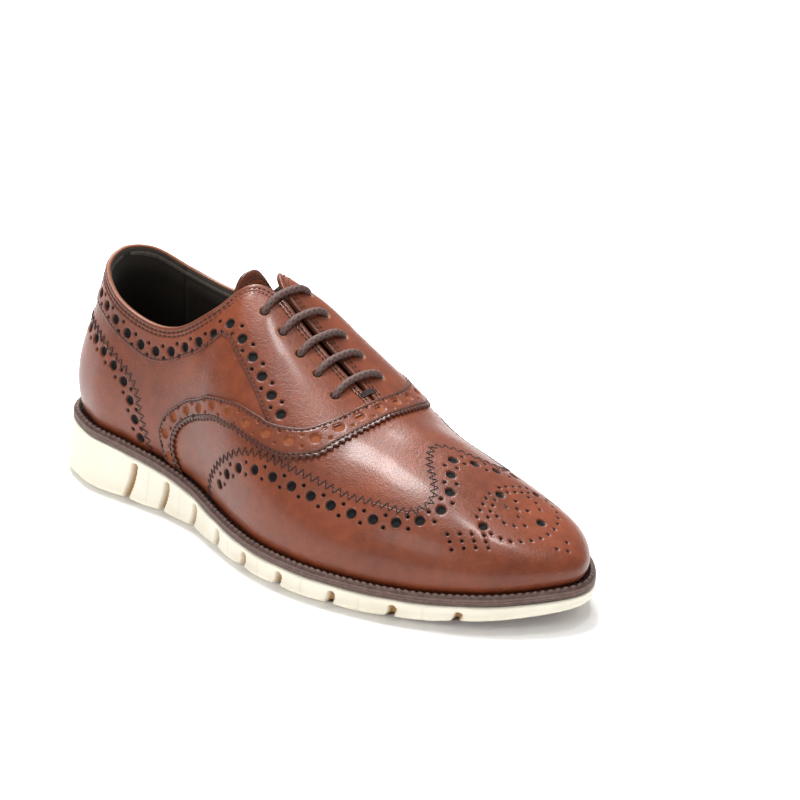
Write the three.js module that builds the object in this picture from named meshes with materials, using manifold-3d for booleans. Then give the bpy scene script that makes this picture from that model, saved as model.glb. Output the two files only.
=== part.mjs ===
// Right-foot wing-tip oxford shoe, built piece by piece around one last surface.
// Millimetres. +X points to the toe, +Z up, -Y is the outer (lateral) side of the foot.
// The origin is the centre of the object's box, on the ground.
import * as THREE from 'three';
import { mergeVertices } from 'three/addons/utils/BufferGeometryUtils.js';
import Module from 'manifold-3d';

const wasm = await Module();
wasm.setup();

// ---------------------------------------------------------------- driving dimensions
const LEATHER = 1.5;             // thickness of quarter and vamp leather
const OVERLAY = 0.8;             // how far the brogued pieces stand above them
const STIFFENER = [-3.1, -2.4];  // depth of the hidden reinforcing layer below the surface
const LINING = [-4.5, -3.6];     // depth of the lining below the surface
const SEAM = 0.3;                // half the gap left between neighbouring pieces
const WELT_HEIGHT = 4.4;         // from the top of the midsole to the upper
const WELT_TOP = 0.9;            // how far the welt's upper face lies below the feather line
const WELT_REACH = 4.4;          // how far the welt stands out from the upper
const WELT_INNER = -9.5;         // inner edge of the welt under the upper
const CLEAR = 0.4;               // gap between stacked sole pieces
const PAD_THICK = 1.2;           // rubber tread pads under the midsole
const TOE_SPRING = 8;            // rise of the sole at the tip of the toe
const SPRING_START = 50;         // x where the sole leaves the ground
const SPRING_LENGTH = 95;        // length over which it rises
const HEEL_FLARE = 3.2;          // outward flare of the midsole at the heel
const NOTCH_X = [-88, -66, -43.5, -21, 1.5, 25, 54, 83, 110];  // flex notches along the midsole wall
const NOTCH_WIDTH = 3.6;
const NOTCH_DEPTH = 4;
const HOLE_R = 2.7;              // lace hole
const EYELET_R = [2.1, 3.5];     // bore and flange of a hidden eyelet
const EYELET_DEPTH = -2.75;      // middle of the foam layer, where the eyelets sit
const LACE_R = 1.25;
const LACE_SIDES = 6;
const TONGUE_HALF_WIDTH = 18;
const TONGUE_ARCH = 0.014;       // drop of the tongue to its sides, per mm squared

// Height of the feather line, where the upper meets the welt, along x.
const FEATHER_HEIGHT = [[-145, 31.8], [-120, 31.4], [-100, 30.4], [-80, 28.3], [-60, 25.4], [-40, 22.5],
  [-20, 20.1], [0, 18.4], [20, 17.4], [40, 16.8], [60, 16.5], [80, 16.5], [100, 17], [120, 18.2], [145, 20.5]];

// Stations of the last from heel (u = 0) to toe (u = 1). Each column of the surface is a cubic Bezier from
// the feather line up to the topline or ridge.
// u, feather x y, top x y z, lower handle, its lean out, upper handle, its fall, its plan direction (degrees)
const LATERAL = [
  [0.00, -143, 0.0, -128.5, 0.0, 107.5, 28, 14, 28, 78, 180],
  [0.06, -137, -20.5, -124.0, -15.0, 104.5, 28, 14, 28, 78, 135],
  [0.13, -118, -32.5, -109.0, -25.5, 97.5, 26, 14, 26, 80, 105],
  [0.22, -93, -34.5, -86.0, -29.0, 91.0, 24, 12, 24, 82, 92],
  [0.31, -67, -34.5, -66.0, -28.0, 92.5, 24, 10, 26, 78, 88],
  [0.40, -42, -38.5, -47.0, -23.0, 105.3, 28, 12, 32, 62, 86],
  [0.46, -24, -45.0, -37.5, -9.0, 115.2, 32, 14, 30, 25, 88],
  [0.52, -6, -51.0, -26.0, -1.8, 111.0, 32, 16, 34, 8, 90],
  [0.58, 12, -55.0, -8.0, -1.8, 98.0, 30, 18, 36, 6, 90],
  [0.65, 34, -56.0, 13.0, -1.8, 84.5, 26, 20, 36, 4, 90],
  [0.72, 56, -53.5, 37.0, -0.5, 71.5, 24, 22, 34, 0, 88],
  [0.79, 80, -47.5, 60.0, 0.0, 65.5, 22, 24, 32, -1, 84],
  [0.86, 104, -37.5, 82.0, 0.5, 59.0, 20, 26, 28, 3.5, 74],
  [0.93, 128, -21.0, 101.0, 1.5, 51.5, 17, 28, 24, 16, 52],
  [1.00, 145, 5.0, 114.0, 2.0, 45.5, 15, 30, 22, 25, 0]];
const MEDIAL = [
  [0.00, -143, 0.0, -128.5, 0.0, 107.5, 28, 14, 28, 78, 180],
  [0.06, -137, 20.0, -124.0, 15.0, 104.5, 28, 14, 28, 78, 135],
  [0.13, -118, 32.0, -109.0, 26.0, 94.5, 26, 14, 26, 80, 105],
  [0.22, -93, 32.5, -86.0, 30.0, 88.6, 24, 12, 24, 82, 92],
  [0.31, -67, 29.0, -66.0, 28.5, 91.5, 24, 10, 26, 78, 88],
  [0.40, -42, 27.0, -47.0, 23.0, 105.3, 28, 12, 32, 62, 86],
  [0.46, -24, 28.0, -37.5, 9.0, 115.2, 32, 14, 30, 25, 88],
  [0.52, -6, 32.0, -26.0, 1.8, 111.0, 34, 18, 42, 6, 90],
  [0.58, 12, 37.0, -8.0, 1.8, 98.0, 34, 20, 44, 5, 90],
  [0.65, 34, 43.0, 13.0, 1.8, 84.5, 30, 22, 40, 4, 90],
  [0.72, 57, 46.0, 37.0, 0.5, 71.5, 25, 24, 26, 4, 88],
  [0.79, 82, 44.5, 60.0, 0.0, 65.5, 21, 26, 21, 4.4, 84],
  [0.86, 107, 39.0, 82.0, 0.5, 59.0, 19, 28, 20, 7.5, 74],
  [0.93, 131, 27.0, 101.0, 1.5, 51.5, 18, 30, 21, 16, 52],
  [1.00, 145, 5.0, 114.0, 2.0, 45.5, 15, 30, 22, 25, 0]];

// Panel edges as (u, v) points: u runs heel to toe, v from the feather line (0) to the topline or ridge (1).
const COLLAR_EDGE = [[0, 0.765], [0.03, 0.77], [0.06, 0.78], [0.09, 0.79], [0.12, 0.795], [0.152, 0.785],
  [0.184, 0.765], [0.24, 0.742], [0.292, 0.763], [0.345, 0.8], [0.4, 0.795], [0.435, 0.757], [0.453, 0.733],
  [0.47, 0.708]];
const FACING_EDGE = [[0.47, 0.708], [0.497, 0.67], [0.524, 0.634], [0.555, 0.607], [0.596, 0.556]];
const BAND_TOP_REAR = [[0.31, 0], [0.3, 0.11], [0.296, 0.25], [0.318, 0.432], [0.362, 0.51], [0.395, 0.512],
  [0.429, 0.51], [0.46, 0.497], [0.49, 0.485], [0.516, 0.495], [0.54, 0.511], [0.58, 0.544], [0.596, 0.556]];
const BAND_TOP_FRONT = [[0.596, 0.556], [0.627, 0.598], [0.654, 0.65], [0.673, 0.721], [0.688, 0.81],
  [0.697, 0.91], [0.7, 1]];
const BAND_BOTTOM = [[0.345, 0], [0.332, 0.12], [0.337, 0.25], [0.36, 0.362], [0.399, 0.418], [0.447, 0.396],
  [0.496, 0.399], [0.538, 0.418], [0.573, 0.436], [0.605, 0.454], [0.635, 0.484], [0.67, 0.552],
  [0.688, 0.608], [0.704, 0.701], [0.718, 0.801], [0.728, 0.904], [0.731, 1]];
const COUNTER_EDGE = [[0, 0.655], [0.028, 0.656], [0.055, 0.66], [0.08, 0.667], [0.105, 0.672],
  [0.145, 0.655], [0.178, 0.61], [0.208, 0.55], [0.232, 0.46], [0.246, 0.33], [0.262, 0.15], [0.272, 0]];
const WING_EDGE = [[0.43, 0], [0.444, 0.116], [0.475, 0.216], [0.518, 0.303], [0.563, 0.383], [0.599, 0.423],
  [0.648, 0.458], [0.697, 0.478], [0.736, 0.479], [0.779, 0.501], [0.82, 0.524], [0.843, 0.628],
  [0.842, 0.751], [0.821, 0.878], [0.81, 1]];
const LACE_HOLES = [[0.522, 0.877], [0.559, 0.885], [0.595, 0.886], [0.631, 0.886], [0.667, 0.868]];

// ---------------------------------------------------------------- finishes
function finish(color, roughness, metalness = 0) {
  return new THREE.MeshStandardMaterial({ color, roughness, metalness });
}
const BROWN_LEATHER = finish(0x5a2c1c, 0.34);
const LINING_LEATHER = finish(0x2b241d, 0.7);
const CORE_BOARD = finish(0x8f7a5c, 0.9);
const FOAM = finish(0x4a4038, 0.95);
const WELT_RUBBER = finish(0x4a3028, 0.6);
const SOLE_FOAM = finish(0xe9dfc8, 0.65);
const TREAD_RUBBER = finish(0x6b4a34, 0.8);
const THREAD = finish(0x20150f, 0.6);
const LACE_COTTON = finish(0x38231b, 0.85);
const EYELET_BRASS = finish(0x8a6d3b, 0.35, 1);

// ---------------------------------------------------------------- the last surface
const radians = THREE.MathUtils.degToRad;

// Each side's stations, with the other side's next station mirrored on beyond the heel and the toe.
function withEnds(own, other) {
  const heel = [...other[1]];
  heel[0] = -heel[0];
  heel[10] = 360 - heel[10];
  const toe = [...other[other.length - 2]];
  toe[0] = 2 - toe[0];
  toe[10] = -toe[10];
  return [heel, ...own, toe];
}
const STATIONS = { lateral: withEnds(LATERAL, MEDIAL), medial: withEnds(MEDIAL, LATERAL) };

// Smooth curve through rows of numbers: cubic Hermite spans with slopes from the neighbouring rows.
function through(rows, x) {
  const last = rows.length - 1;
  let i = 0;
  while (i < last - 1 && x >= rows[i + 1][0]) i += 1;
  const slope = (k, c) => {
    const before = Math.max(k - 1, 0);
    const after = Math.min(k + 1, last);
    const rate = (a, b) => (rows[b][c] - rows[a][c]) / (rows[b][0] - rows[a][0]);
    if (before === k) return rate(k, after);
    if (after === k) return rate(before, k);
    const h0 = rows[k][0] - rows[before][0];
    const h1 = rows[after][0] - rows[k][0];
    return (rate(before, k) * h1 + rate(k, after) * h0) / (h0 + h1);
  };
  const h = rows[i + 1][0] - rows[i][0];
  const t = (x - rows[i][0]) / h;
  const t2 = t * t;
  const t3 = t2 * t;
  return rows[i].slice(1).map((value, n) => {
    const c = n + 1;
    return (2 * t3 - 3 * t2 + 1) * value + (t3 - 2 * t2 + t) * h * slope(i, c)
      + (3 * t2 - 2 * t3) * rows[i + 1][c] + (t3 - t2) * h * slope(i + 1, c);
  });
}

const featherZ = (x) => through(FEATHER_HEIGHT, THREE.MathUtils.clamp(x, -145, 145))[0];

// One station column: feather point, the outline's plan normal there, and the Bezier's other points.
function column(side, u) {
  const rows = STATIONS[side];
  const sign = side === 'lateral' ? -1 : 1;
  const [fx, fy, tx, ty, tz, a, lean, b, fall, plan] = through(rows, u);
  const [x0, y0] = through(rows, u - 0.001);
  const [x1, y1] = through(rows, u + 0.001);
  const along = new THREE.Vector2(x1 - x0, y1 - y0).normalize();
  const normal = new THREE.Vector2(-along.y * sign, along.x * sign);
  const feather = new THREE.Vector3(fx, fy, featherZ(fx));
  const top = new THREE.Vector3(tx, ty, tz);
  const sinLean = Math.sin(radians(lean));
  const lower = new THREE.Vector3(normal.x * sinLean, normal.y * sinLean, Math.cos(radians(lean)));
  const flat = Math.cos(radians(fall));
  const upper = new THREE.Vector3(Math.cos(radians(plan)) * flat, sign * Math.sin(radians(plan)) * flat,
    -Math.sin(radians(fall)));
  return { feather, normal, p1: lower.multiplyScalar(a).add(feather), p2: upper.multiplyScalar(b).add(top), top };
}

// The surface in one pair of coordinates. u below 0 or above 1 runs on round the heel or toe to the other
// side, and w from 1 to 2 runs down from the ridge on the medial side.
function surface(u, w) {
  const beyond = u < 0 || u > 1;
  const uu = u < 0 ? -u : (u > 1 ? 2 - u : u);
  const onSeam = uu < 1e-9 || uu > 1 - 1e-9;
  const side = !onSeam && beyond !== (w > 1) ? 'medial' : 'lateral';
  const v = w > 1 ? 2 - w : w;
  const { feather, p1, p2, top } = column(side, uu);
  const s = 1 - v;
  return new THREE.Vector3()
    .addScaledVector(feather, s * s * s)
    .addScaledVector(p1, 3 * s * s * v)
    .addScaledVector(p2, 3 * s * v * v)
    .addScaledVector(top, v * v * v);
}

// Outward normal, by differences; it stays on its own side of the topline and off the tip of the ridge.
function surfaceNormal(u, w) {
  const step = 0.004;
  const open = Math.abs(u) < 0.7;
  let w0 = Math.max(w - step, 0);
  let w1 = Math.min(w + step, 2);
  if (open && w <= 1) w1 = Math.min(w1, 1);
  if (open && w > 1) w0 = Math.max(w0, 1.0001);
  const wn = Math.abs(w - 1) < 0.02 && u > 0.98 ? 0.98 : w;
  const du = surface(u + step, wn).sub(surface(u - step, wn));
  const dw = surface(u, w1).sub(surface(u, w0));
  if (wn !== w) dw.copy(surface(u, 0.98)).sub(surface(u, 0.96));
  return du.cross(dw).normalize();
}

// A point of the surface moved out (or in, when negative) along its normal.
const lifted = (u, w, offset) => surface(u, w).addScaledVector(surfaceNormal(u, w), offset);

// ---------------------------------------------------------------- closed meshes
// A closed body from triangles: shared corners merged, slivers dropped, faces turned outwards.
function closedGeometry(points, triangles) {
  const soup = new THREE.BufferGeometry();
  soup.setAttribute('position', new THREE.Float32BufferAttribute(points.flatMap((p) => [p.x, p.y, p.z]), 3));
  soup.setIndex(triangles.flat());
  const geometry = mergeVertices(soup, 0.002);
  const index = geometry.index.array;
  const position = geometry.attributes.position;
  const corner = (i) => new THREE.Vector3().fromBufferAttribute(position, i);
  const kept = [];
  let volume = 0;
  for (let i = 0; i < index.length; i += 3) {
    const [a, b, c] = [index[i], index[i + 1], index[i + 2]];
    if (a !== b && b !== c && c !== a) {
      kept.push([a, b, c]);
      volume += corner(a).dot(corner(b).cross(corner(c)));
    }
  }
  geometry.setIndex(kept.flatMap(([a, b, c]) => (volume > 0 ? [a, b, c] : [a, c, b])));
  return geometry;
}

// Solid between two grids of points. A piece that folds round the toe has no wall at its last column,
// where its two halves meet.
function shell(topGrid, bottomGrid, foldsAtEnd = false) {
  const triangles = shellTriangles(topGrid.length, topGrid[0].length, foldsAtEnd);
  return closedGeometry([...topGrid.flat(), ...bottomGrid.flat()], triangles);
}

// A sheet with thickness: a grid of (u, w) places, lifted to two heights.
function sheet(grid, [bottom, top], foldsAtEnd = false) {
  const at = (offset) => grid.map((row) => row.map(([u, w]) => lifted(u, w, offset)));
  return shell(at(top), at(bottom), foldsAtEnd);
}

// Triangles of two stacked grids and the wall round them.
function shellTriangles(rows, cols, foldsAtEnd) {
  const id = (layer, i, j) => (layer * rows + i) * cols + j;
  const triangles = [];
  const quad = (a, b, c, d) => triangles.push([a, b, c], [a, c, d]);
  for (let i = 0; i < rows - 1; i += 1) {
    for (let j = 0; j < cols - 1; j += 1) {
      quad(id(0, i, j), id(0, i + 1, j), id(0, i + 1, j + 1), id(0, i, j + 1));
      quad(id(1, i, j), id(1, i, j + 1), id(1, i + 1, j + 1), id(1, i + 1, j));
    }
  }
  for (let i = 0; i < rows - 1; i += 1) {
    quad(id(0, i + 1, 0), id(0, i, 0), id(1, i, 0), id(1, i + 1, 0));
    if (!foldsAtEnd) {
      quad(id(0, i, cols - 1), id(0, i + 1, cols - 1), id(1, i + 1, cols - 1), id(1, i, cols - 1));
    }
  }
  for (let j = 0; j < cols - 1; j += 1) {
    quad(id(0, 0, j), id(0, 0, j + 1), id(1, 0, j + 1), id(1, 0, j));
    quad(id(0, rows - 1, j + 1), id(0, rows - 1, j), id(1, rows - 1, j), id(1, rows - 1, j + 1));
  }
  return triangles;
}

// An edge is a list of (u, w) points read by their count: 2.5 is halfway from the third to the fourth.
function edge(points) {
  return (k) => {
    const i = Math.min(Math.floor(k), points.length - 2);
    const t = k - i;
    return [0, 1].map((c) => points[i][c] + (points[i + 1][c] - points[i][c]) * t);
  };
}
// Two edges end to end, where the second starts at the first one's end.
const joined = (first, ...rest) => rest.reduce((list, next) => [...list, ...next.slice(1)], first);
// An edge carried on over the ridge and down the medial side.
const overRidge = (list) => [...list, ...list.slice(0, -1).reverse().map(([u, w]) => [u, 2 - w])];
// An edge carried on round the heel from the medial side to the lateral side.
const roundHeel = (list) => [...list.slice(1).reverse().map(([u, w]) => [-u, w]), ...list];

// Straight-line reading of a list of [t, value] pairs.
function reading(pairs, t) {
  let i = 0;
  while (i < pairs.length - 2 && t > pairs[i + 1][0]) i += 1;
  const [t0, a] = pairs[i];
  const [t1, b] = pairs[i + 1];
  return a + (b - a) * ((t - t0) / (t1 - t0));
}

// Places to cross a strip: every corner of both edges, so that pieces sharing an edge share its corners.
function crossings(facing) {
  const back = facing.map(([a, b]) => [b, a]);
  const [start, end] = [facing[0], facing[facing.length - 1]];
  const own = Array.from({ length: end[0] - start[0] + 1 }, (_, i) => start[0] + i);
  const opposite = Array.from({ length: end[1] - start[1] - 1 }, (_, i) => reading(back, start[1] + 1 + i));
  const places = [...own];
  for (const t of opposite) {
    if (places.every((other) => Math.abs(other - t) > 0.15)) places.push(t);
  }
  return places.sort((a, b) => a - b);
}

// Share of the way from a to b that leaves the gap, measured square to the edge that runs through a.
function slantedGap(a, b, before, after, gap) {
  const across = surface(...b).sub(surface(...a));
  const along = surface(...after).sub(surface(...before)).normalize();
  const square = new THREE.Vector3().crossVectors(across, along).length();
  return Math.min(gap / Math.max(square, 0.01), 0.4);
}

// Grid between two edges, pulled in by the seam gap on all four sides. facing pairs point counts along the
// lower edge with those of the upper edge.
function strip(lower, upper, facing, across, gap = SEAM) {
  const [low, high] = [edge(lower), edge(upper)];
  const places = crossings(facing);
  const count = places.length;
  const nudge = (from, to) => {
    const step = surface(...low(from)).distanceTo(surface(...low(to)))
      + surface(...high(reading(facing, from))).distanceTo(surface(...high(reading(facing, to))));
    return from + (to - from) * Math.min((2 * gap) / step, 0.4);
  };
  const [start, end] = [nudge(places[0], places[1]), nudge(places[count - 1], places[count - 2])];
  places[0] = start;
  places[count - 1] = end;
  return places.map((t, i) => {
    const a = low(t);
    const b = high(reading(facing, t));
    const before = places[Math.max(i - 1, 0)];
    const after = places[Math.min(i + 1, count - 1)];
    const fromLow = slantedGap(a, b, low(before), low(after), gap);
    const fromHigh = slantedGap(b, a, high(reading(facing, before)), high(reading(facing, after)), gap);
    return Array.from({ length: across + 1 }, (_, j) => {
      const s = fromLow + (1 - fromLow - fromHigh) * (j / across);
      return [a[0] + (b[0] - a[0]) * s, a[1] + (b[1] - a[1]) * s];
    });
  });
}

// Plain rectangle of the (u, w) plane.
const patch = (u0, u1, w0, w1, nu, nw) => Array.from({ length: nu + 1 }, (_, i) => Array.from(
  { length: nw + 1 }, (__, j) => [u0 + (u1 - u0) * (i / nu), w0 + (w1 - w0) * (j / nw)]));

// ---------------------------------------------------------------- sole rings
// Feather points and normals of both sides, from u0 to u1, set closer together towards both ends.
function footprint(u0, u1, n) {
  const ends = { lateral: [], medial: [] };
  for (const side of ['lateral', 'medial']) {
    for (let i = 0; i <= n; i += 1) {
      const share = i / n - 0.08 * Math.sin((2 * Math.PI * i) / n);
      const { feather, normal } = column(side, u0 + (u1 - u0) * share);
      ends[side].push({ feather, normal });
    }
  }
  return ends;
}

const groundZ = (x) => TOE_SPRING * Math.max(0, (x - SPRING_START) / SPRING_LENGTH) ** 2;

// One level: every footprint point moved out by reach, at the height that z gives for its place.
const level = (points, reach, z) => points.map(({ feather, normal }) => {
  const out = typeof reach === 'function' ? reach(feather.x) : reach;
  const x = feather.x + normal.x * out;
  return new THREE.Vector3(x, feather.y + normal.y * out, z(x));
});

// Solid slab of stacked levels, with ladder-like caps from side to side.
function slab(u0, u1, n, levels) {
  const print = footprint(u0, u1, n);
  const rings = levels.map(([reach, z]) => [...level(print.lateral, reach, z),
    ...level(print.medial, reach, z).reverse()]);
  const size = 2 * (n + 1);
  const points = rings.flat();
  const triangles = [];
  for (let k = 0; k < rings.length - 1; k += 1) {
    for (let i = 0; i < size; i += 1) {
      const a = k * size + i;
      const b = k * size + ((i + 1) % size);
      triangles.push([a, b, b + size], [a, b + size, a + size]);
    }
  }
  const last = (rings.length - 1) * size;
  for (let i = 0; i < n; i += 1) {
    const [a, b, c, d] = [i, i + 1, size - 2 - i, size - 1 - i];
    triangles.push([a, c, b], [a, d, c], [last + a, last + b, last + c], [last + a, last + c, last + d]);
  }
  return closedGeometry(points, triangles);
}

// Closed ring: a profile of [reach, height above the feather] points carried round the footprint.
function ring(n, profile) {
  const print = footprint(0, 1, n);
  const around = [...print.lateral.slice(0, n), ...print.medial.slice(1).reverse()];
  const rings = profile.map(([reach, dz]) => level(around, reach, (x) => featherZ(x) + dz));
  const size = around.length;
  const triangles = [];
  for (let k = 0; k < rings.length; k += 1) {
    const next = (k + 1) % rings.length;
    for (let i = 0; i < size; i += 1) {
      const j = (i + 1) % size;
      const [a, b, c, d] = [k * size + i, k * size + j, next * size + j, next * size + i];
      triangles.push([a, b, c], [a, c, d]);
    }
  }
  return closedGeometry(rings.flat(), triangles);
}

// ---------------------------------------------------------------- cutting
function toManifold(geometry) {
  const bare = new THREE.BufferGeometry();
  bare.setAttribute('position', geometry.attributes.position.clone());
  if (geometry.index) bare.setIndex(geometry.index.clone());
  const merged = mergeVertices(bare, 0.0001);
  return new wasm.Manifold(new wasm.Mesh({
    numProp: 3,
    vertProperties: new Float32Array(merged.attributes.position.array),
    triVerts: new Uint32Array(merged.index.array),
  }));
}

function cut(geometry, tools) {
  let solid = toManifold(geometry);
  for (const tool of tools) solid = solid.subtract(toManifold(tool));
  const mesh = solid.getMesh();
  const result = new THREE.BufferGeometry();
  result.setAttribute('position', new THREE.Float32BufferAttribute(mesh.vertProperties, 3));
  result.setIndex(new THREE.BufferAttribute(mesh.triVerts, 1));
  return result;
}

// Rotation that turns +Y to the surface's normal at a place, standing on the surface there.
function standing(u, w, offset) {
  const turn = new THREE.Quaternion().setFromUnitVectors(new THREE.Vector3(0, 1, 0), surfaceNormal(u, w));
  return new THREE.Matrix4().compose(lifted(u, w, offset), turn, new THREE.Vector3(1, 1, 1));
}

// Drill through the upper and the lining, centred between them.
function holeDrill([u, w]) {
  return new THREE.CylinderGeometry(HOLE_R, HOLE_R, 9, 10).applyMatrix4(standing(u, w, -1.7));
}

// ---------------------------------------------------------------- the object
const shoe = new THREE.Group();
shoe.name = 'oxford_shoe';
function add(name, geometry, material) {
  const mesh = new THREE.Mesh(geometry, material);
  mesh.name = name;
  shoe.add(mesh);
  return mesh;
}

const BASE_LAYER = [-LEATHER, 0];
const OVERLAY_LAYER = [-LEATHER, OVERLAY];
const SIDES = { lateral: 1, medial: -1 };

// A list of points carried to one side of the shoe.
const toSide = (list, sign) => list.map(([u, w]) => [u * sign, w]);

function makeQuarters() {
  const lower = joined(COUNTER_EDGE, [COUNTER_EDGE[11], BAND_TOP_REAR[0]], BAND_TOP_REAR);
  const upper = joined(COLLAR_EDGE, FACING_EDGE);
  const facing = [[0, 0], [1, 0.9], [2, 1.8], [3, 2.7], [4, 3.5], [5, 4.6], [6, 5.6], [7, 6.1], [8, 6.35],
    [9, 6.55], [10, 6.75], [11, 6.85], [12, 7], [13, 7.4], [14, 7.85], [15, 8.5], [16, 9.4], [17, 10],
    [18, 10.6], [19, 12], [20, 13], [21, 13.8], [22, 14.6], [23, 16], [24, 17]];
  for (const [side, sign] of Object.entries(SIDES)) {
    const grid = strip(toSide(lower, sign), toSide(upper, sign), facing, 3);
    add(`quarter_${side}`, sheet(grid, BASE_LAYER), BROWN_LEATHER);
  }
}

function makeCollarFacings() {
  const lower = joined(COLLAR_EDGE, FACING_EDGE, BAND_TOP_FRONT);
  const topline = [0, 0.03, 0.06, 0.09, 0.12, 0.152, 0.184, 0.24, 0.292, 0.345, 0.393, 0.425, 0.443, 0.46,
    0.49, 0.52, 0.56, 0.6, 0.635, 0.66, 0.676, 0.688, 0.696, 0.7].map((u) => [u, 1]);
  const facing = [[0, 0], [23, 23]];
  for (const [side, sign] of Object.entries(SIDES)) {
    const grid = strip(toSide(lower, sign), toSide(topline, sign), facing, 3);
    const drills = LACE_HOLES.map(([u, w]) => holeDrill([u * sign, w]));
    add(`collar_facing_${side}`, cut(sheet(grid, OVERLAY_LAYER), drills), BROWN_LEATHER);
  }
}

function makeHeelCounterCover() {
  const foot = [0, 0.026, 0.05, 0.073, 0.095, 0.13, 0.16, 0.185, 0.205, 0.225, 0.245, 0.262];
  const lower = roundHeel(foot.map((u) => [u, 0]));
  const grid = strip(lower, roundHeel(COUNTER_EDGE), [[0, 0], [22, 22]], 5);
  add('heel_counter_cover', sheet(grid, OVERLAY_LAYER), BROWN_LEATHER);
}

function makeVamp() {
  const bandTop = overRidge(joined(BAND_TOP_REAR, BAND_TOP_FRONT));
  const bandBottom = overRidge(BAND_BOTTOM);
  const halfBand = [[0, 0], [3, 2.6], [4, 3.2], [6, 4.6], [8, 5.9], [10, 7], [11, 8], [12, 8.9], [13, 9.8],
    [14, 11], [15, 12.6], [16, 14], [18, 16]];
  const acrossBand = [...halfBand, ...halfBand.slice(0, -1).reverse().map(([a, b]) => [36 - a, 32 - b])];
  add('brogued_band', sheet(strip(bandTop, bandBottom, acrossBand, 1), OVERLAY_LAYER), BROWN_LEATHER);
  // The vamp is narrowest where the band and the wing come close on each side.
  const facing = [[0, 0], [8, 4], [16, 14], [24, 24], [32, 28]];
  add('vamp', sheet(strip(bandBottom, overRidge(WING_EDGE), facing, 4), BASE_LAYER), BROWN_LEATHER);
}

function makeToeWingtip() {
  const tipHeights = [0, 0.04, 0.08, 0.13, 0.18, 0.23, 0.29, 0.36, 0.44, 0.53, 0.62, 0.72, 0.82, 0.92, 1];
  const tip = overRidge(tipHeights.map((w) => [1, w]));
  const across = 10;
  const wing = overRidge(WING_EDGE);
  const grid = wing.map(([u, w], i) => {
    const before = wing[Math.max(i - 1, 0)];
    const after = wing[Math.min(i + 1, wing.length - 1)];
    const start = slantedGap([u, w], tip[i], before, after, SEAM * 1.4);
    return Array.from({ length: across + 1 }, (_, j) => {
      const s = 1 - (1 - start) * (1 - j / across) ** 1.4;
      return [u + (1 - u) * s, w + (tip[i][1] - w) * s];
    });
  });
  add('toe_wingtip', sheet(grid, OVERLAY_LAYER, true), BROWN_LEATHER);
}

// Hidden and inner pieces behind the leather.
function makeLinings() {
  add('heel_stiffener', sheet(patch(-0.24, 0.24, 0.03, 0.6, 18, 4), STIFFENER), CORE_BOARD);
  add('toe_puff', sheet(swapped(patch(0.14, 1.86, 0.88, 1, 16, 5)), STIFFENER, true), CORE_BOARD);
  add('heel_grip', sheet(patch(-0.12, 0.12, 0.02, 0.985, 12, 6), LINING), LINING_LEATHER);
  add('vamp_lining', sheet(swapped(patch(0.02, 1.98, 0.7, 1, 18, 7)), LINING, true), LINING_LEATHER);
  for (const [side, sign] of Object.entries(SIDES)) {
    const drills = LACE_HOLES.map(([u, w]) => holeDrill([u * sign, w]));
    const lining = sheet(patch(0.124 * sign, 0.696 * sign, 0.02, 0.985, 22, 6), LINING);
    add(`quarter_lining_${side}`, cut(lining, drills), LINING_LEATHER);
    add(`collar_foam_${side}`, sheet(patch(0.01 * sign, 0.405 * sign, 0.83, 0.975, 16, 1), STIFFENER), FOAM);
  }
}

// A patch made as (w, u) pairs, turned into (u, w).
function swapped(grid) {
  return grid.map((row) => row.map(([w, u]) => [u, w]));
}

// ---------------------------------------------------------------- tongue
// Centre line of the tongue's upper face, from its seam under the throat to its free top: s, x, z.
const TONGUE_LINE = [[0, 33, 62.5], [0.25, 14.5, 72.5], [0.5, -5, 85], [0.72, -22, 96], [0.84, -32.5, 101],
  [0.92, -40.5, 105.5], [1, -46, 117.5]];

function tonguePoint(s, q, depth) {
  const [x, z] = through(TONGUE_LINE, s);
  const [x1, z1] = through(TONGUE_LINE, s + 0.01);
  const [x0, z0] = through(TONGUE_LINE, s - 0.01);
  const length = Math.hypot(x1 - x0, z1 - z0);
  const [nx, nz] = [(z1 - z0) / length, -(x1 - x0) / length];
  const half = TONGUE_HALF_WIDTH * (0.86 + 0.14 * Math.min(s * 2, 1) - 1.1 * Math.max(s - 0.8, 0));
  const y = q * half;
  const drop = TONGUE_ARCH * (1 + 0.6 * Math.max(s - 0.6, 0) / 0.4) * y * y + depth;
  return new THREE.Vector3(x - nx * drop, y, z - nz * drop);
}

function makeTongue() {
  const grid = (depth) => Array.from({ length: 10 }, (_, i) => Array.from(
    { length: 7 }, (__, j) => tonguePoint(i / 9, j / 3 - 1, depth)));
  add('tongue', shell(grid(0), grid(1.4)), BROWN_LEATHER);
  add('tongue_padding', shell(grid(1.8), grid(4.2)), LINING_LEATHER);
}

// ---------------------------------------------------------------- lacing
// Steps that follow the curve's own points, so the tight bends at the holes get their share.
class CordPath extends THREE.CatmullRomCurve3 {
  getPointAt(t, target) {
    return this.getPoint(t, target);
  }

  getTangentAt(t, target) {
    return this.getTangent(t, target);
  }

  getSpacedPoints(divisions) {
    return this.getPoints(divisions);
  }
}

function cord(points, stepsPerSpan) {
  const section = new THREE.Shape(Array.from({ length: LACE_SIDES }, (_, i) => {
    const angle = (i / LACE_SIDES) * 2 * Math.PI;
    return new THREE.Vector2(LACE_R * Math.cos(angle), LACE_R * Math.sin(angle));
  }));
  const extrudePath = new CordPath(points, false, 'centripetal');
  const steps = (points.length - 1) * stepsPerSpan;
  const solid = new THREE.ExtrudeGeometry(section, { steps, extrudePath, bevelEnabled: false });
  solid.deleteAttribute('normal');
  solid.deleteAttribute('uv');
  return mergeVertices(solid, 0.0005);
}

const UNDER = -6.5;      // depth of the lace's centre where it runs behind the lining
const OVER = OVERLAY + LACE_R + 0.55;

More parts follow.
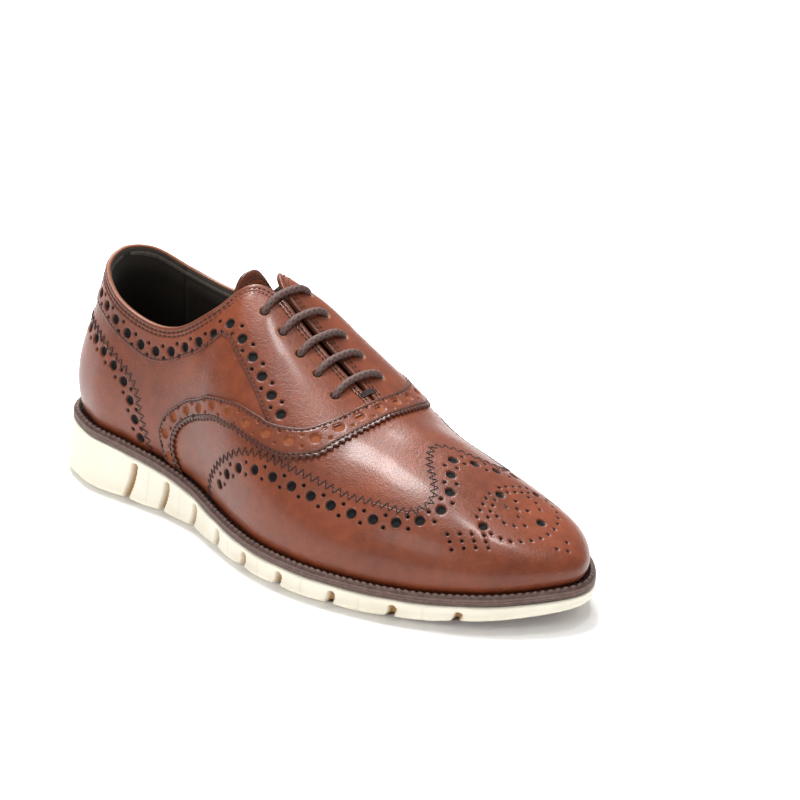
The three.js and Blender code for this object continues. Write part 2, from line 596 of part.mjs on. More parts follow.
// One crossing: up through hole a, over both facings and down through hole b.
function crossing(hole, from, to) {
  const [u, v] = hole;
  const w = (side) => (side === 'lateral' ? v : 2 - v);
  const toward = from === 'lateral' ? 1 : -1;
  const a = w(from);
  const b = w(to);
  return [
    lifted(u, a, UNDER + 0.8), lifted(u, a, -2.4), lifted(u, a + 0.006 * toward, 0.9),
    lifted(u, a + 0.05 * toward, OVER), lifted(u, 1 - 0.03 * toward, OVER + 0.3),
    lifted(u, 1 + 0.03 * toward, OVER + 0.3), lifted(u, b - 0.05 * toward, OVER),
    lifted(u, b - 0.006 * toward, 0.9), lifted(u, b, -2.4), lifted(u, b, UNDER + 0.8)];
}

function makeLacing() {
  const [first, second, third, fourth, fifth] = LACE_HOLES;
  const tuckedTop = [[0.44, 0.56, 2.4], [0.462, 0.64, 1.2], [0.484, 0.72, 0.3], [0.505, 0.81, 0]];
  const tuckedEnd = [[0.648, 0.8, 0], [0.61, 0.73, 0.3], [0.57, 0.65, 1.2], [0.53, 0.57, 2.4]];
  const points = [
    ...tuckedTop.map(([u, w, deeper]) => lifted(u, w, UNDER - deeper)),
    ...crossing(first, 'lateral', 'medial'),
    ...crossing(second, 'medial', 'lateral'),
    ...crossing(third, 'lateral', 'medial'),
    ...crossing(fourth, 'medial', 'lateral'),
    ...crossing(fifth, 'lateral', 'medial'),
    ...tuckedEnd.map(([u, w, deeper]) => lifted(u, 2 - w, UNDER - deeper))];
  add('lace', cord(points, 2), LACE_COTTON);
  for (const [name, end, before] of [['aglet_lateral', points[0], points[1]],
    ['aglet_medial', points[points.length - 1], points[points.length - 2]]]) {
    const along = end.clone().sub(before).normalize();
    const tube = new THREE.CylinderGeometry(LACE_R, LACE_R, 14, 10);
    tube.applyQuaternion(new THREE.Quaternion().setFromUnitVectors(new THREE.Vector3(0, 1, 0), along));
    const centre = end.clone().addScaledVector(along, 7.4);
    tube.translate(centre.x, centre.y, centre.z);
    add(name, tube, LACE_COTTON);
  }
  for (const [side, mirror] of [['lateral', (w) => w], ['medial', (w) => 2 - w]]) {
    LACE_HOLES.forEach(([u, w], i) => {
      const [bore, flange] = EYELET_R;
      const profile = [[bore, -0.35], [flange, -0.35], [flange, 0.35], [bore, 0.35], [bore, -0.35]];
      const eyelet = new THREE.LatheGeometry(profile.map(([r, y]) => new THREE.Vector2(r, y)), 10);
      eyelet.applyMatrix4(standing(u, mirror(w), EYELET_DEPTH));
      add(`eyelet_${side}_${i + 1}`, eyelet, EYELET_BRASS);
    });
  }
  const tack = new THREE.BoxGeometry(2.4, 8, 1.1);
  tack.translate(...lifted(0.688, 1, OVERLAY + 1));
  add('bar_tack', tack, THREAD);
}

// ---------------------------------------------------------------- sole
const flare = (x) => HEEL_FLARE * THREE.MathUtils.clamp((-x - 40) / 90, 0, 1);

function makeSole() {
  const aboveGround = (dz) => (x) => groundZ(x) + dz;
  const fromFeather = (dz) => (x) => featherZ(x) + dz;
  const midsoleTop = -WELT_HEIGHT - CLEAR;
  const base = PAD_THICK + 0.3;
  const body = slab(0, 1, 30, [
    [(x) => WELT_REACH - 3 + flare(x), aboveGround(base)],
    [(x) => WELT_REACH + 0.5 + flare(x), aboveGround(base + 3.5)],
    [(x) => WELT_REACH + 0.5 + 0.3 * flare(x), fromFeather(midsoleTop - 3)],
    [WELT_REACH - 0.4, fromFeather(midsoleTop)]]);
  add('midsole', cut(body, notchCutters()), SOLE_FOAM);
  add('heel_tread_pad', slab(0.02, 0.24, 12, [[-2, () => 0], [-2, () => PAD_THICK]]), TREAD_RUBBER);
  add('forefoot_tread_pad', slab(0.5, 0.98, 20, [[-2, groundZ], [-2, aboveGround(PAD_THICK)]]), TREAD_RUBBER);
  add('welt', ring(30, [[WELT_INNER, -WELT_HEIGHT], [WELT_REACH, -WELT_HEIGHT], [WELT_REACH + 0.3, -2.4],
    [WELT_REACH - 0.3, -WELT_TOP], [WELT_INNER, -WELT_TOP]]), WELT_RUBBER);
  add('welt_thread', ring(30, [[2.5, 0.3 - WELT_TOP], [3.3, 0.3 - WELT_TOP], [3.3, 0.3], [2.5, 0.3]]), THREAD);
  add('sole_filler', slab(0, 1, 30, [[WELT_INNER - CLEAR, fromFeather(-WELT_HEIGHT)],
    [WELT_INNER - CLEAR, fromFeather(-WELT_TOP)]]), CORE_BOARD);
  add('insole_board', slab(0, 1, 24, [[-5.9, fromFeather(-0.3)], [-5.9, fromFeather(1.7)]]), CORE_BOARD);
  add('sock_liner', slab(0, 1, 24, [[-6.1, fromFeather(2.1)], [-5.7, fromFeather(4.1)],
    [-6.7, fromFeather(6.1)]]), LINING_LEATHER);
}

// Round-topped slots in the side wall of the midsole, open at the ground.
function notchCutters() {
  const cutters = [];
  const radius = NOTCH_WIDTH / 2;
  for (const side of ['lateral', 'medial']) {
    for (const x of NOTCH_X) {
      let [low, high] = [0, 1];
      for (let k = 0; k < 30; k += 1) {
        const middle = (low + high) / 2;
        if (column(side, middle).feather.x < x) low = middle;
        else high = middle;
      }
      const { feather, normal } = column(side, low);
      const height = featherZ(x) - WELT_HEIGHT - 6;
      const outline = new THREE.Shape();
      outline.moveTo(-radius, -2);
      outline.lineTo(radius, -2);
      outline.lineTo(radius, height - radius);
      outline.absarc(0, height - radius, radius, 0, Math.PI, false);
      const slot = new THREE.ExtrudeGeometry(outline, { depth: 12, bevelEnabled: false, curveSegments: 3 });
      const out = new THREE.Vector3(normal.x, normal.y, 0);
      const up = new THREE.Vector3(0, 0, 1);
      slot.deleteAttribute('normal');
      slot.deleteAttribute('uv');
      slot.applyMatrix4(new THREE.Matrix4().makeBasis(up.clone().cross(out), up, out));
      const reach = WELT_REACH + flare(x) - NOTCH_DEPTH;
      slot.translate(feather.x + out.x * reach, feather.y + out.y * reach, 0);
      cutters.push(slot);
    }
  }
  return cutters;
}

makeToeWingtip();
makeVamp();
makeQuarters();
makeCollarFacings();
makeHeelCounterCover();
makeTongue();
makeLinings();
makeSole();
makeLacing();

// The origin is moved from the last's own datum to the middle of the box.
const box = new THREE.Box3().setFromObject(shoe);
shoe.position.set(-(box.min.x + box.max.x) / 2, -(box.min.y + box.max.y) / 2, -box.min.z);

export default shoe;
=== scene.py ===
"""Wing-tip oxford, right foot: leather, brogueing, stitching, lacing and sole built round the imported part.

Every shape is worked out on the shoe's last, in millimetres, and put into the frame in metres.
"""
import math

import bmesh
import bpy
import numpy as np
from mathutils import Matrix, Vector


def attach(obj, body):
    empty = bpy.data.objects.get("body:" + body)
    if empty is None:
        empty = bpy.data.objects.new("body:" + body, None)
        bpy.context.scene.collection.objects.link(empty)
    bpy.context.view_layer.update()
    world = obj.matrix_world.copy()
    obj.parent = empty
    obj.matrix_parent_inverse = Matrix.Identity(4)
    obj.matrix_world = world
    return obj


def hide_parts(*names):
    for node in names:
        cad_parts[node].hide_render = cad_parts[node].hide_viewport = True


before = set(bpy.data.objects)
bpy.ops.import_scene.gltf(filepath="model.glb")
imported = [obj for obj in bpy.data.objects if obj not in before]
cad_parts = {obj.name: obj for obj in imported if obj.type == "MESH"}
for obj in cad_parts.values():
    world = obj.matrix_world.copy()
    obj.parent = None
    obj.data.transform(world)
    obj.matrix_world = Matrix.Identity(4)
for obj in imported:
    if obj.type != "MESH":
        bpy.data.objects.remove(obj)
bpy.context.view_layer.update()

bl_info = {
    "name": "Wing-tip Oxford",
    "version": (1, 0, 0),
    "blender": (4, 5, 0),
    "location": "3D View > Sidebar > Oxford",
    "description": "Builds a brogued oxford shoe, piece by piece, round its packed frame",
    "category": "Mesh",
}

# ------------------------------------------------------------------ the last
# Height of the feather line, where the upper meets the welt, along x.
FEATHER_HEIGHT = [
    (-145, 31.8), (-120, 31.4), (-100, 30.4), (-80, 28.3), (-60, 25.4), (-40, 22.5), (-20, 20.1), (0, 18.4),
    (20, 17.4), (40, 16.8), (60, 16.5), (80, 16.5), (100, 17), (120, 18.2), (145, 20.5)]

# Stations from heel (u = 0) to toe (u = 1): u, feather x y, top x y z, lower handle and its lean,
# upper handle, its fall and its plan direction in degrees.
LATERAL = [
    (0.00, -143, 0.0, -128.5, 0.0, 107.5, 28, 14, 28, 78, 180),
    (0.06, -137, -20.5, -124.0, -15.0, 104.5, 28, 14, 28, 78, 135),
    (0.13, -118, -32.5, -109.0, -25.5, 97.5, 26, 14, 26, 80, 105),
    (0.22, -93, -34.5, -86.0, -29.0, 91.0, 24, 12, 24, 82, 92),
    (0.31, -67, -34.5, -66.0, -28.0, 92.5, 24, 10, 26, 78, 88),
    (0.40, -42, -38.5, -47.0, -23.0, 105.3, 28, 12, 32, 62, 86),
    (0.46, -24, -45.0, -37.5, -9.0, 115.2, 32, 14, 30, 25, 88),
    (0.52, -6, -51.0, -26.0, -1.8, 111.0, 32, 16, 34, 8, 90),
    (0.58, 12, -55.0, -8.0, -1.8, 98.0, 30, 18, 36, 6, 90),
    (0.65, 34, -56.0, 13.0, -1.8, 84.5, 26, 20, 36, 4, 90),
    (0.72, 56, -53.5, 37.0, -0.5, 71.5, 24, 22, 34, 0, 88),
    (0.79, 80, -47.5, 60.0, 0.0, 65.5, 22, 24, 32, -1, 84),
    (0.86, 104, -37.5, 82.0, 0.5, 59.0, 20, 26, 28, 3.5, 74),
    (0.93, 128, -21.0, 101.0, 1.5, 51.5, 17, 28, 24, 16, 52),
    (1.00, 145, 5.0, 114.0, 2.0, 45.5, 15, 30, 22, 25, 0)]
MEDIAL = [
    (0.00, -143, 0.0, -128.5, 0.0, 107.5, 28, 14, 28, 78, 180),
    (0.06, -137, 20.0, -124.0, 15.0, 104.5, 28, 14, 28, 78, 135),
    (0.13, -118, 32.0, -109.0, 26.0, 94.5, 26, 14, 26, 80, 105),
    (0.22, -93, 32.5, -86.0, 30.0, 88.6, 24, 12, 24, 82, 92),
    (0.31, -67, 29.0, -66.0, 28.5, 91.5, 24, 10, 26, 78, 88),
    (0.40, -42, 27.0, -47.0, 23.0, 105.3, 28, 12, 32, 62, 86),
    (0.46, -24, 28.0, -37.5, 9.0, 115.2, 32, 14, 30, 25, 88),
    (0.52, -6, 32.0, -26.0, 1.8, 111.0, 34, 18, 42, 6, 90),
    (0.58, 12, 37.0, -8.0, 1.8, 98.0, 34, 20, 44, 5, 90),
    (0.65, 34, 43.0, 13.0, 1.8, 84.5, 30, 22, 40, 4, 90),
    (0.72, 57, 46.0, 37.0, 0.5, 71.5, 25, 24, 26, 4, 88),
    (0.79, 82, 44.5, 60.0, 0.0, 65.5, 21, 26, 21, 4.4, 84),
    (0.86, 107, 39.0, 82.0, 0.5, 59.0, 19, 28, 20, 7.5, 74),
    (0.93, 131, 27.0, 101.0, 1.5, 51.5, 18, 30, 21, 16, 52),
    (1.00, 145, 5.0, 114.0, 2.0, 45.5, 15, 30, 22, 25, 0)]

# Panel edges as (u, w): w runs from the feather line (0) to the topline or ridge (1).
COLLAR_EDGE = [
    (0, 0.765), (0.03, 0.77), (0.06, 0.78), (0.09, 0.79), (0.12, 0.795), (0.152, 0.785), (0.184, 0.765),
    (0.24, 0.742), (0.292, 0.763), (0.345, 0.8), (0.4, 0.795), (0.435, 0.757), (0.453, 0.733), (0.47, 0.708)]
FACING_EDGE = [(0.47, 0.708), (0.497, 0.67), (0.524, 0.634), (0.555, 0.607), (0.596, 0.556)]
BAND_TOP_REAR = [
    (0.31, 0), (0.3, 0.11), (0.296, 0.25), (0.316, 0.405), (0.362, 0.522), (0.395, 0.535), (0.429, 0.507),
    (0.46, 0.479), (0.49, 0.481), (0.516, 0.496), (0.54, 0.513), (0.58, 0.548), (0.596, 0.556)]
BAND_TOP_FRONT = [
    (0.596, 0.556), (0.627, 0.598), (0.654, 0.65), (0.673, 0.721), (0.688, 0.81), (0.697, 0.91), (0.7, 1)]
BAND_BOTTOM = [
    (0.345, 0), (0.332, 0.12), (0.337, 0.25), (0.36, 0.362), (0.399, 0.418), (0.447, 0.396), (0.496, 0.399),
    (0.538, 0.418), (0.573, 0.436), (0.605, 0.454), (0.635, 0.484), (0.67, 0.552), (0.688, 0.608),
    (0.704, 0.701), (0.718, 0.801), (0.728, 0.904), (0.731, 1)]
COUNTER_EDGE = [
    (0, 0.655), (0.028, 0.656), (0.055, 0.66), (0.08, 0.667), (0.105, 0.672), (0.145, 0.655), (0.178, 0.61),
    (0.208, 0.55), (0.232, 0.46), (0.246, 0.33), (0.262, 0.15), (0.272, 0)]
WING_EDGE = [
    (0.43, 0), (0.444, 0.116), (0.475, 0.216), (0.518, 0.303), (0.563, 0.383), (0.599, 0.423), (0.648, 0.458),
    (0.697, 0.478), (0.736, 0.479), (0.779, 0.501), (0.82, 0.524), (0.843, 0.628), (0.842, 0.751),
    (0.821, 0.878), (0.81, 1)]
LACE_HOLES = [(0.522, 0.877), (0.559, 0.885), (0.595, 0.886), (0.631, 0.886), (0.667, 0.868)]

# Centre lines of the brogue rows.
COLLAR_HOLES = [
    (0.018, 0.868), (0.05, 0.866), (0.089, 0.87), (0.127, 0.873), (0.162, 0.856), (0.19, 0.835),
    (0.222, 0.82), (0.257, 0.82), (0.297, 0.838), (0.34, 0.858), (0.381, 0.856), (0.423, 0.815)]
FACING_HOLES = [
    (0.423, 0.815), (0.469, 0.768), (0.508, 0.722), (0.54, 0.694), (0.564, 0.675), (0.59, 0.65),
    (0.612, 0.622)]
COUNTER_HOLES = [
    (0, 0.602), (0.03, 0.604), (0.06, 0.608), (0.103, 0.613), (0.134, 0.597), (0.161, 0.562), (0.186, 0.51),
    (0.21, 0.43), (0.229, 0.3), (0.243, 0.15), (0.25, 0.07)]
BAND_HOLES = [
    (0.322, 0.07), (0.313, 0.169), (0.318, 0.3), (0.338, 0.395), (0.368, 0.455), (0.4, 0.47), (0.44, 0.45),
    (0.487, 0.442), (0.535, 0.462), (0.573, 0.495), (0.608, 0.525), (0.642, 0.566), (0.671, 0.635),
    (0.69, 0.728), (0.706, 0.871), (0.714, 1)]
WING_HOLES = [
    (0.478, 0.14), (0.495, 0.19), (0.529, 0.265), (0.576, 0.335), (0.613, 0.366), (0.646, 0.383),
    (0.676, 0.391), (0.706, 0.395), (0.736, 0.398), (0.765, 0.405), (0.794, 0.425), (0.824, 0.47),
    (0.853, 0.577), (0.864, 0.734), (0.857, 0.868), (0.845, 1)]

# Centre line of the tongue's upper face, from its seam to its free top: share, x, z.
TONGUE_LINE = [
    (0, 33, 62.5), (0.25, 14.5, 72.5), (0.5, -5, 85), (0.72, -22, 96), (0.84, -32.5, 101), (0.92, -40.5, 105.5),
    (1, -46, 117.5)]
TONGUE_HALF_WIDTH = 18
TONGUE_ARCH = 0.014

# Sole sizes.
WELT_HEIGHT = 4.4
WELT_REACH = 4.4
WELT_STEP = 0.3
SOLE_GAP = 0.4
TOE_SPRING = 8
SPRING_START = 50
SPRING_LENGTH = 95
HEEL_FLARE = 3.2
PAD_THICK = 1.2
NOTCH_X = [-88, -66, -43.5, -21, 1.5, 25, 54, 83, 110]

LACE_RADIUS = 1.7
LACE_UNDER = -6.5
LACE_OVER = 2.75


def through(rows, x):
    """Cubic Hermite spans through rows of (place, values); each slope is the mean of its neighbours' rates,
    weighted by the other span's length."""
    rows = np.asarray(rows, float)
    x = np.asarray(x, float)
    place, value = rows[:, 0], rows[:, 1:]
    span = np.diff(place)[:, None]
    rate = np.diff(value, axis=0) / span
    inner = (rate[:-1] * span[1:] + rate[1:] * span[:-1]) / (span[:-1] + span[1:])
    slope = np.concatenate([rate[:1], inner, rate[-1:]])
    i = np.clip(np.searchsorted(place, x, side="right") - 1, 0, len(place) - 2)
    h = span[i]
    t = ((x - place[i]) / h[..., 0])[..., None]
    return ((2 * t**3 - 3 * t**2 + 1) * value[i] + (t**3 - 2 * t**2 + t) * h * slope[i]
            + (3 * t**2 - 2 * t**3) * value[i + 1] + (t**3 - t**2) * h * slope[i + 1])


def with_ends(own, other):
    """A side's stations, with the other side's next station carried on beyond the heel and the toe."""
    heel, toe = list(other[1]), list(other[-2])
    heel[0], heel[10] = -heel[0], 360 - heel[10]
    toe[0], toe[10] = 2 - toe[0], -toe[10]
    return np.array([heel, *own, toe], float)


SIDES = {"lateral": (-1, with_ends(LATERAL, MEDIAL)), "medial": (1, with_ends(MEDIAL, LATERAL))}


def unit(vectors):
    """Vectors divided by their lengths."""
    return vectors / np.maximum(np.linalg.norm(vectors, axis=-1, keepdims=True), 1e-12)


def feather_z(x):
    """Height of the feather line at x."""
    return through(FEATHER_HEIGHT, np.clip(x, -145, 145))[..., 0]


def outline(side, u):
    """Feather points of one side and the outline's plan normals there, from the chord between u - 0.001
    and u + 0.001."""
    sign, rows = SIDES[side]
    flat = rows[:, :3]
    xy = through(flat, u)
    along = unit(through(flat, u + 0.001) - through(flat, u - 0.001))
    normal = np.stack([-along[..., 1] * sign, along[..., 0] * sign], -1)
    return np.concatenate([xy, feather_z(xy[..., 0])[..., None]], -1), normal


def side_surface(side, u, v):
    """Cubic Bezier columns: feather point, a handle leaning out, a handle falling from the top, top point."""
    sign, rows = SIDES[side]
    _, _, tx, ty, tz, lower, lean, upper, fall, plan = np.moveaxis(through(rows, u), -1, 0)
    foot, normal = outline(side, u)
    top = np.stack([tx, ty, tz], -1)
    lean, fall, plan = np.radians(lean), np.radians(fall), np.radians(plan)
    rise = np.stack([normal[..., 0] * np.sin(lean), normal[..., 1] * np.sin(lean), np.cos(lean)], -1)
    away = np.stack([np.cos(plan) * np.cos(fall), sign * np.sin(plan) * np.cos(fall), -np.sin(fall)], -1)
    first, second = foot + rise * lower[..., None], top + away * upper[..., None]
    v = v[..., None]
    s = 1 - v
    return s**3 * foot + 3 * s**2 * v * first + 3 * s * v**2 * second + v**3 * top


def surface(u, w):
    """The last in one pair of coordinates: u below 0 or above 1 runs round the heel or toe to the medial
    side, and w from 1 to 2 runs down from the ridge on the medial side."""
    u, w = np.broadcast_arrays(np.asarray(u, float), np.asarray(w, float))
    beyond = (u < 0) | (u > 1)
    own = np.where(u < 0, -u, np.where(u > 1, 2 - u, u))
    on_seam = (own < 1e-9) | (own > 1 - 1e-9)
    medial = (beyond != (w > 1)) & ~on_seam
    v = np.where(w > 1, 2 - w, w)
    place = np.empty(u.shape + (3,))
    for side, chosen in (("lateral", ~medial), ("medial", medial)):
        if chosen.any():
            place[chosen] = side_surface(side, own[chosen], v[chosen])
    return place


def on_last(uw):
    """Points of the last at an array of (u, w) places."""
    return surface(uw[..., 0], uw[..., 1])


def out_of_last(uw):
    """Outward normals: the cross product of differences along u and along w, kept on their own side of the
    open topline and off the tip of the ridge."""
    step = 0.004
    u, w = uw[..., 0], uw[..., 1]
    open_top = np.abs(u) < 0.7
    low, high = np.maximum(w - step, -0.05), np.minimum(w + step, 2.05)
    high = np.where(open_top & (w <= 1), np.minimum(high, 1), high)
    low = np.where(open_top & (w > 1), np.maximum(low, 1.0001), low)
    at_tip = (np.abs(w - 1) < 0.02) & (u > 0.98)
    beside_tip = np.where(at_tip, 0.98, w)
    low, high = np.where(at_tip, 0.96, low), np.where(at_tip, 0.98, high)
    along = surface(u + step, beside_tip) - surface(u - step, beside_tip)
    return unit(np.cross(along, surface(u, high) - surface(u, low)))


def lifted(u, w, offset):
    """Points moved out of the last, or in when negative, along its normals."""
    uw = np.stack(np.broadcast_arrays(np.asarray(u, float), np.asarray(w, float)), -1)
    return on_last(uw) + out_of_last(uw) * np.asarray(offset, float)[..., None]


# ------------------------------------------------------------------ runs and strips
def travelled(points):
    """Length gone along a run of points."""
    return np.concatenate([[0], np.cumsum(np.linalg.norm(np.diff(points, axis=0), axis=-1))])


def to_side(points, sign):
    """(u, w) points carried to the lateral (1) or the medial (-1) side."""
    return [(u * sign, w) for u, w in points]


def over_ridge(points):
    """A run carried on over the ridge and down the medial side."""
    return [*points, *[(u, 2 - w) for u, w in points[-2::-1]]]


def round_heel(points):
    """A run carried round the heel from the medial side to the lateral side."""
    return [*[(-u, w) for u, w in points[:0:-1]], *points]


class Run:
    """Smooth run through given (u, w) points, read by their count, with a sharp turn at each corner."""

    def __init__(self, points, corners=()):
        points = np.array(points, float)
        cuts = [0, *corners, len(points) - 1]
        self.end = len(points) - 1
        self.parts = [np.column_stack([np.arange(a, b + 1), points[a:b + 1]]) for a, b in zip(cuts, cuts[1:])]

    def __call__(self, count):
        """Places at counts along the run, each read from the part between corners that holds it."""
        count = np.asarray(count, float)
        places = np.zeros(count.shape + (2,))
        for part in self.parts:
            on = (count >= part[0, 0] - 1e-9) & (count <= part[-1, 0] + 1e-9)
            places[on] = through(part, count[on])
        return places

    def evenly(self, start, stop, steps):
        """Counts that cut the run into steps of equal length on the last."""
        count = np.linspace(start, stop, int(30 * abs(stop - start)) + 12)
        gone = travelled(on_last(self(count)))
        return np.interp(np.linspace(0, gone[-1], steps + 1), gone, count)

    def length(self, start=0, stop=None):
        """Length on the last between two counts."""
        stop = self.end if stop is None else stop
        return travelled(on_last(self(np.linspace(start, stop, int(30 * abs(stop - start)) + 12))))[-1]


def beside(uw, distance):
    """Places moved square to their run by a length on the last: the sideways step is split into steps of u
    and w by solving its two dot products."""
    step = 1e-3
    u, w = uw[..., 0], uw[..., 1]
    place = on_last(uw)
    back = np.where(w > 0.5, -step, step)
    by_u = (surface(u + step, w) - place) / step
    by_w = (surface(u, w + back) - place) / back[..., None]
    across = np.cross(out_of_last(uw), unit(np.gradient(place, axis=0))) * distance
    uu, uv, vv = (by_u**2).sum(-1), (by_u * by_w).sum(-1), (by_w**2).sum(-1)
    au, av = (across * by_u).sum(-1), (across * by_w).sum(-1)
    det = np.maximum(uu * vv - uv**2, 1e-9)
    return uw + np.stack([(au * vv - av * uv) / det, (av * uu - au * uv) / det], -1)


class Strip:
    """The stretch of the last between two runs, ruled straight across in (u, w): row i goes from the low run
    (share 0) to the high run (share 1). facing pairs counts of the low run with counts of the high run."""

    def __init__(self, low, high, facing, cell):
        lows, highs = [], []
        for (a, b), (c, d) in zip(facing, facing[1:]):
            steps = 2 * max(1, round(max(low.length(a, c), high.length(b, d)) / cell / 2))
            first = 0 if not lows else 1
            lows.append(low.evenly(a, c, steps)[first:])
            highs.append(high.evenly(b, d, steps)[first:])
        self.low, self.high = low(np.concatenate(lows)), high(np.concatenate(highs))
        self.low_rate = self.square_rate(self.low, self.high - self.low)
        self.high_rate = self.square_rate(self.high, self.low - self.high)
        rungs = on_last(self.at(np.broadcast_to(np.linspace(0, 1, 9), (len(self.low), 9))))
        self.span = np.linalg.norm(np.diff(rungs, axis=1), axis=-1).sum(1).max()
        self.cell = cell

    @staticmethod
    def square_rate(edge, across):
        """Distance square to the edge that a whole share would cover, from its rate at the edge."""
        start = on_last(edge)
        outward = (on_last(edge + across * 0.01) - start) / 0.01
        along = unit(np.gradient(start, axis=0))
        return np.maximum(np.linalg.norm(np.cross(outward, along), axis=-1), 1.5)

    def at(self, share):
        """(u, w) places at shares given for each row."""
        return self.low[:, None] + (self.high - self.low)[:, None] * share[..., None]

    def shares(self, border):
        """Shares across each row: even steps, with closer ones inside a border at each edge."""
        close = np.array([0, 0.14, 0.38, 0.68])
        low, high = np.minimum(border / self.low_rate, 0.14), np.minimum(border / self.high_rate, 0.14)
        inner = np.linspace(0, 1, 2 * max(2, round(self.span / self.cell / 2)) + 1)
        return np.concatenate([low[:, None] * close, low[:, None] + (1 - low - high)[:, None] * inner,
                               1 - high[:, None] * close[::-1]], axis=1)


# ------------------------------------------------------------------ meshes
def last_datum():
    """Where the last's own datum lies in the frame, in millimetres: the welt's rearmost point is on its heel
    line, one welt's reach behind the feather line."""
    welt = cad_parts["welt"].data
    corners = np.empty(len(welt.vertices) * 3)
    welt.vertices.foreach_get("co", corners)
    rear = corners.reshape(-1, 3)[corners[::3].argmin()] * 1000
    return np.array([rear[0] - (LATERAL[0][1] - WELT_REACH - WELT_STEP), rear[1], 0])


DATUM = last_datum()


def loose_faces(*faces):
    """Faces of any corner counts as one list of corners and their counts."""
    corners = np.concatenate([f.ravel() for f in faces])
    counts = np.concatenate([np.full(len(f), f.shape[1]) for f in faces])
    return corners, counts


def signed_volume(points, faces):
    """Sum over each face's fan of triangles of corner . (corner x corner), six times the volume."""
    total = 0.0
    for f in faces:
        for k in range(1, f.shape[1] - 1):
            a, b, c = points[f[:, 0]], points[f[:, k]], points[f[:, k + 1]]
            total += (a * np.cross(b, c)).sum()
    return total


def new_piece(name, points, faces, finish, body="shoe", replaces=(), marks=None, weld=False):
    """A finished piece: points in millimetres of the last, faces as arrays of corners, turned outwards by the
    sign of the enclosed volume, with named marks as point attributes."""
    points = np.asarray(points, float).reshape(-1, 3)
    if signed_volume(points - points.mean(0), faces) < 0:
        faces = [f[:, ::-1] for f in faces]
    corners, counts = loose_faces(*faces)
    mesh = bpy.data.meshes.new(name)
    mesh.vertices.add(len(points))
    mesh.vertices.foreach_set("co", ((points + DATUM) * 0.001).ravel())
    mesh.loops.add(len(corners))
    mesh.loops.foreach_set("vertex_index", corners)
    mesh.polygons.add(len(counts))
    mesh.polygons.foreach_set("loop_start", np.concatenate([[0], np.cumsum(counts)[:-1]]))
    for mark, values in (marks or {}).items():
        mesh.attributes.new(mark, "FLOAT", "POINT").data.foreach_set("value", np.asarray(values).ravel())
    mesh.update(calc_edges=True)
    if weld:
        merge_corners(mesh)
    mesh.validate()
    mesh.shade_smooth()
    piece = bpy.data.objects.new(name, mesh)
    bpy.context.scene.collection.objects.link(piece)
    mesh.materials.append(finish)
    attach(piece, body)
    if replaces:
        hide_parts(*replaces)
    return piece


def merge_corners(mesh, reach=2e-6):
    """Corners that lie together become one, and faces that this flattens go."""
    work = bmesh.new()
    work.from_mesh(mesh)
    bmesh.ops.remove_doubles(work, verts=work.verts, dist=reach)
    bmesh.ops.dissolve_degenerate(work, edges=work.edges, dist=reach)
    work.to_mesh(mesh)
    work.free()


def grid_faces(rows, columns, start=0, close_rows=False, close_columns=False):
    """Quads of a grid of corners, carried round where it closes on itself."""
    ids = start + np.arange(rows * columns).reshape(rows, columns)
    if close_rows:
        ids = np.concatenate([ids, ids[:1]])
    if close_columns:
        ids = np.concatenate([ids, ids[:, :1]], axis=1)
    return np.stack([ids[:-1, :-1], ids[1:, :-1], ids[1:, 1:], ids[:-1, 1:]], -1).reshape(-1, 4)


def border(ids):
    """Corners round a grid of ids, once round."""
    return np.concatenate([ids[0, :-1], ids[:-1, -1], ids[-1, :0:-1], ids[:0:-1, 0]])


def shell(top, under):
    """Points and faces of a closed shell: a fine upper grid, a lower grid of every second row and column,
    and a wall between their borders."""
    rows, columns = top.shape[:2]
    upper = np.arange(rows * columns).reshape(rows, columns)
    lower = rows * columns + np.arange(under.shape[0] * under.shape[1]).reshape(under.shape[:2])
    rim, foot = border(upper), border(lower)
    even, odd, after = rim[0::2], rim[1::2], np.roll(rim[0::2], -1)
    beneath = np.roll(foot, -1)
    faces = [grid_faces(rows, columns), grid_faces(*under.shape[:2], start=rows * columns)[:, ::-1],
             np.stack([even, odd, foot], -1), np.stack([odd, after, beneath, foot], -1)]
    return np.concatenate([top.reshape(-1, 3), under.reshape(-1, 3)]), faces


def rolled(distance, radius):
    """Fall of a rounded edge: a quarter circle within its radius."""
    inside = np.clip(1 - distance / radius, 0, 1)
    return radius * (1 - np.sqrt(1 - inside**2))


def furrow(distance, centre, depth, width=0.45):
    """Bell-shaped channel pressed by a row of stitches at a distance from the edge."""
    return depth * np.exp(-((distance - centre) / width) ** 2)


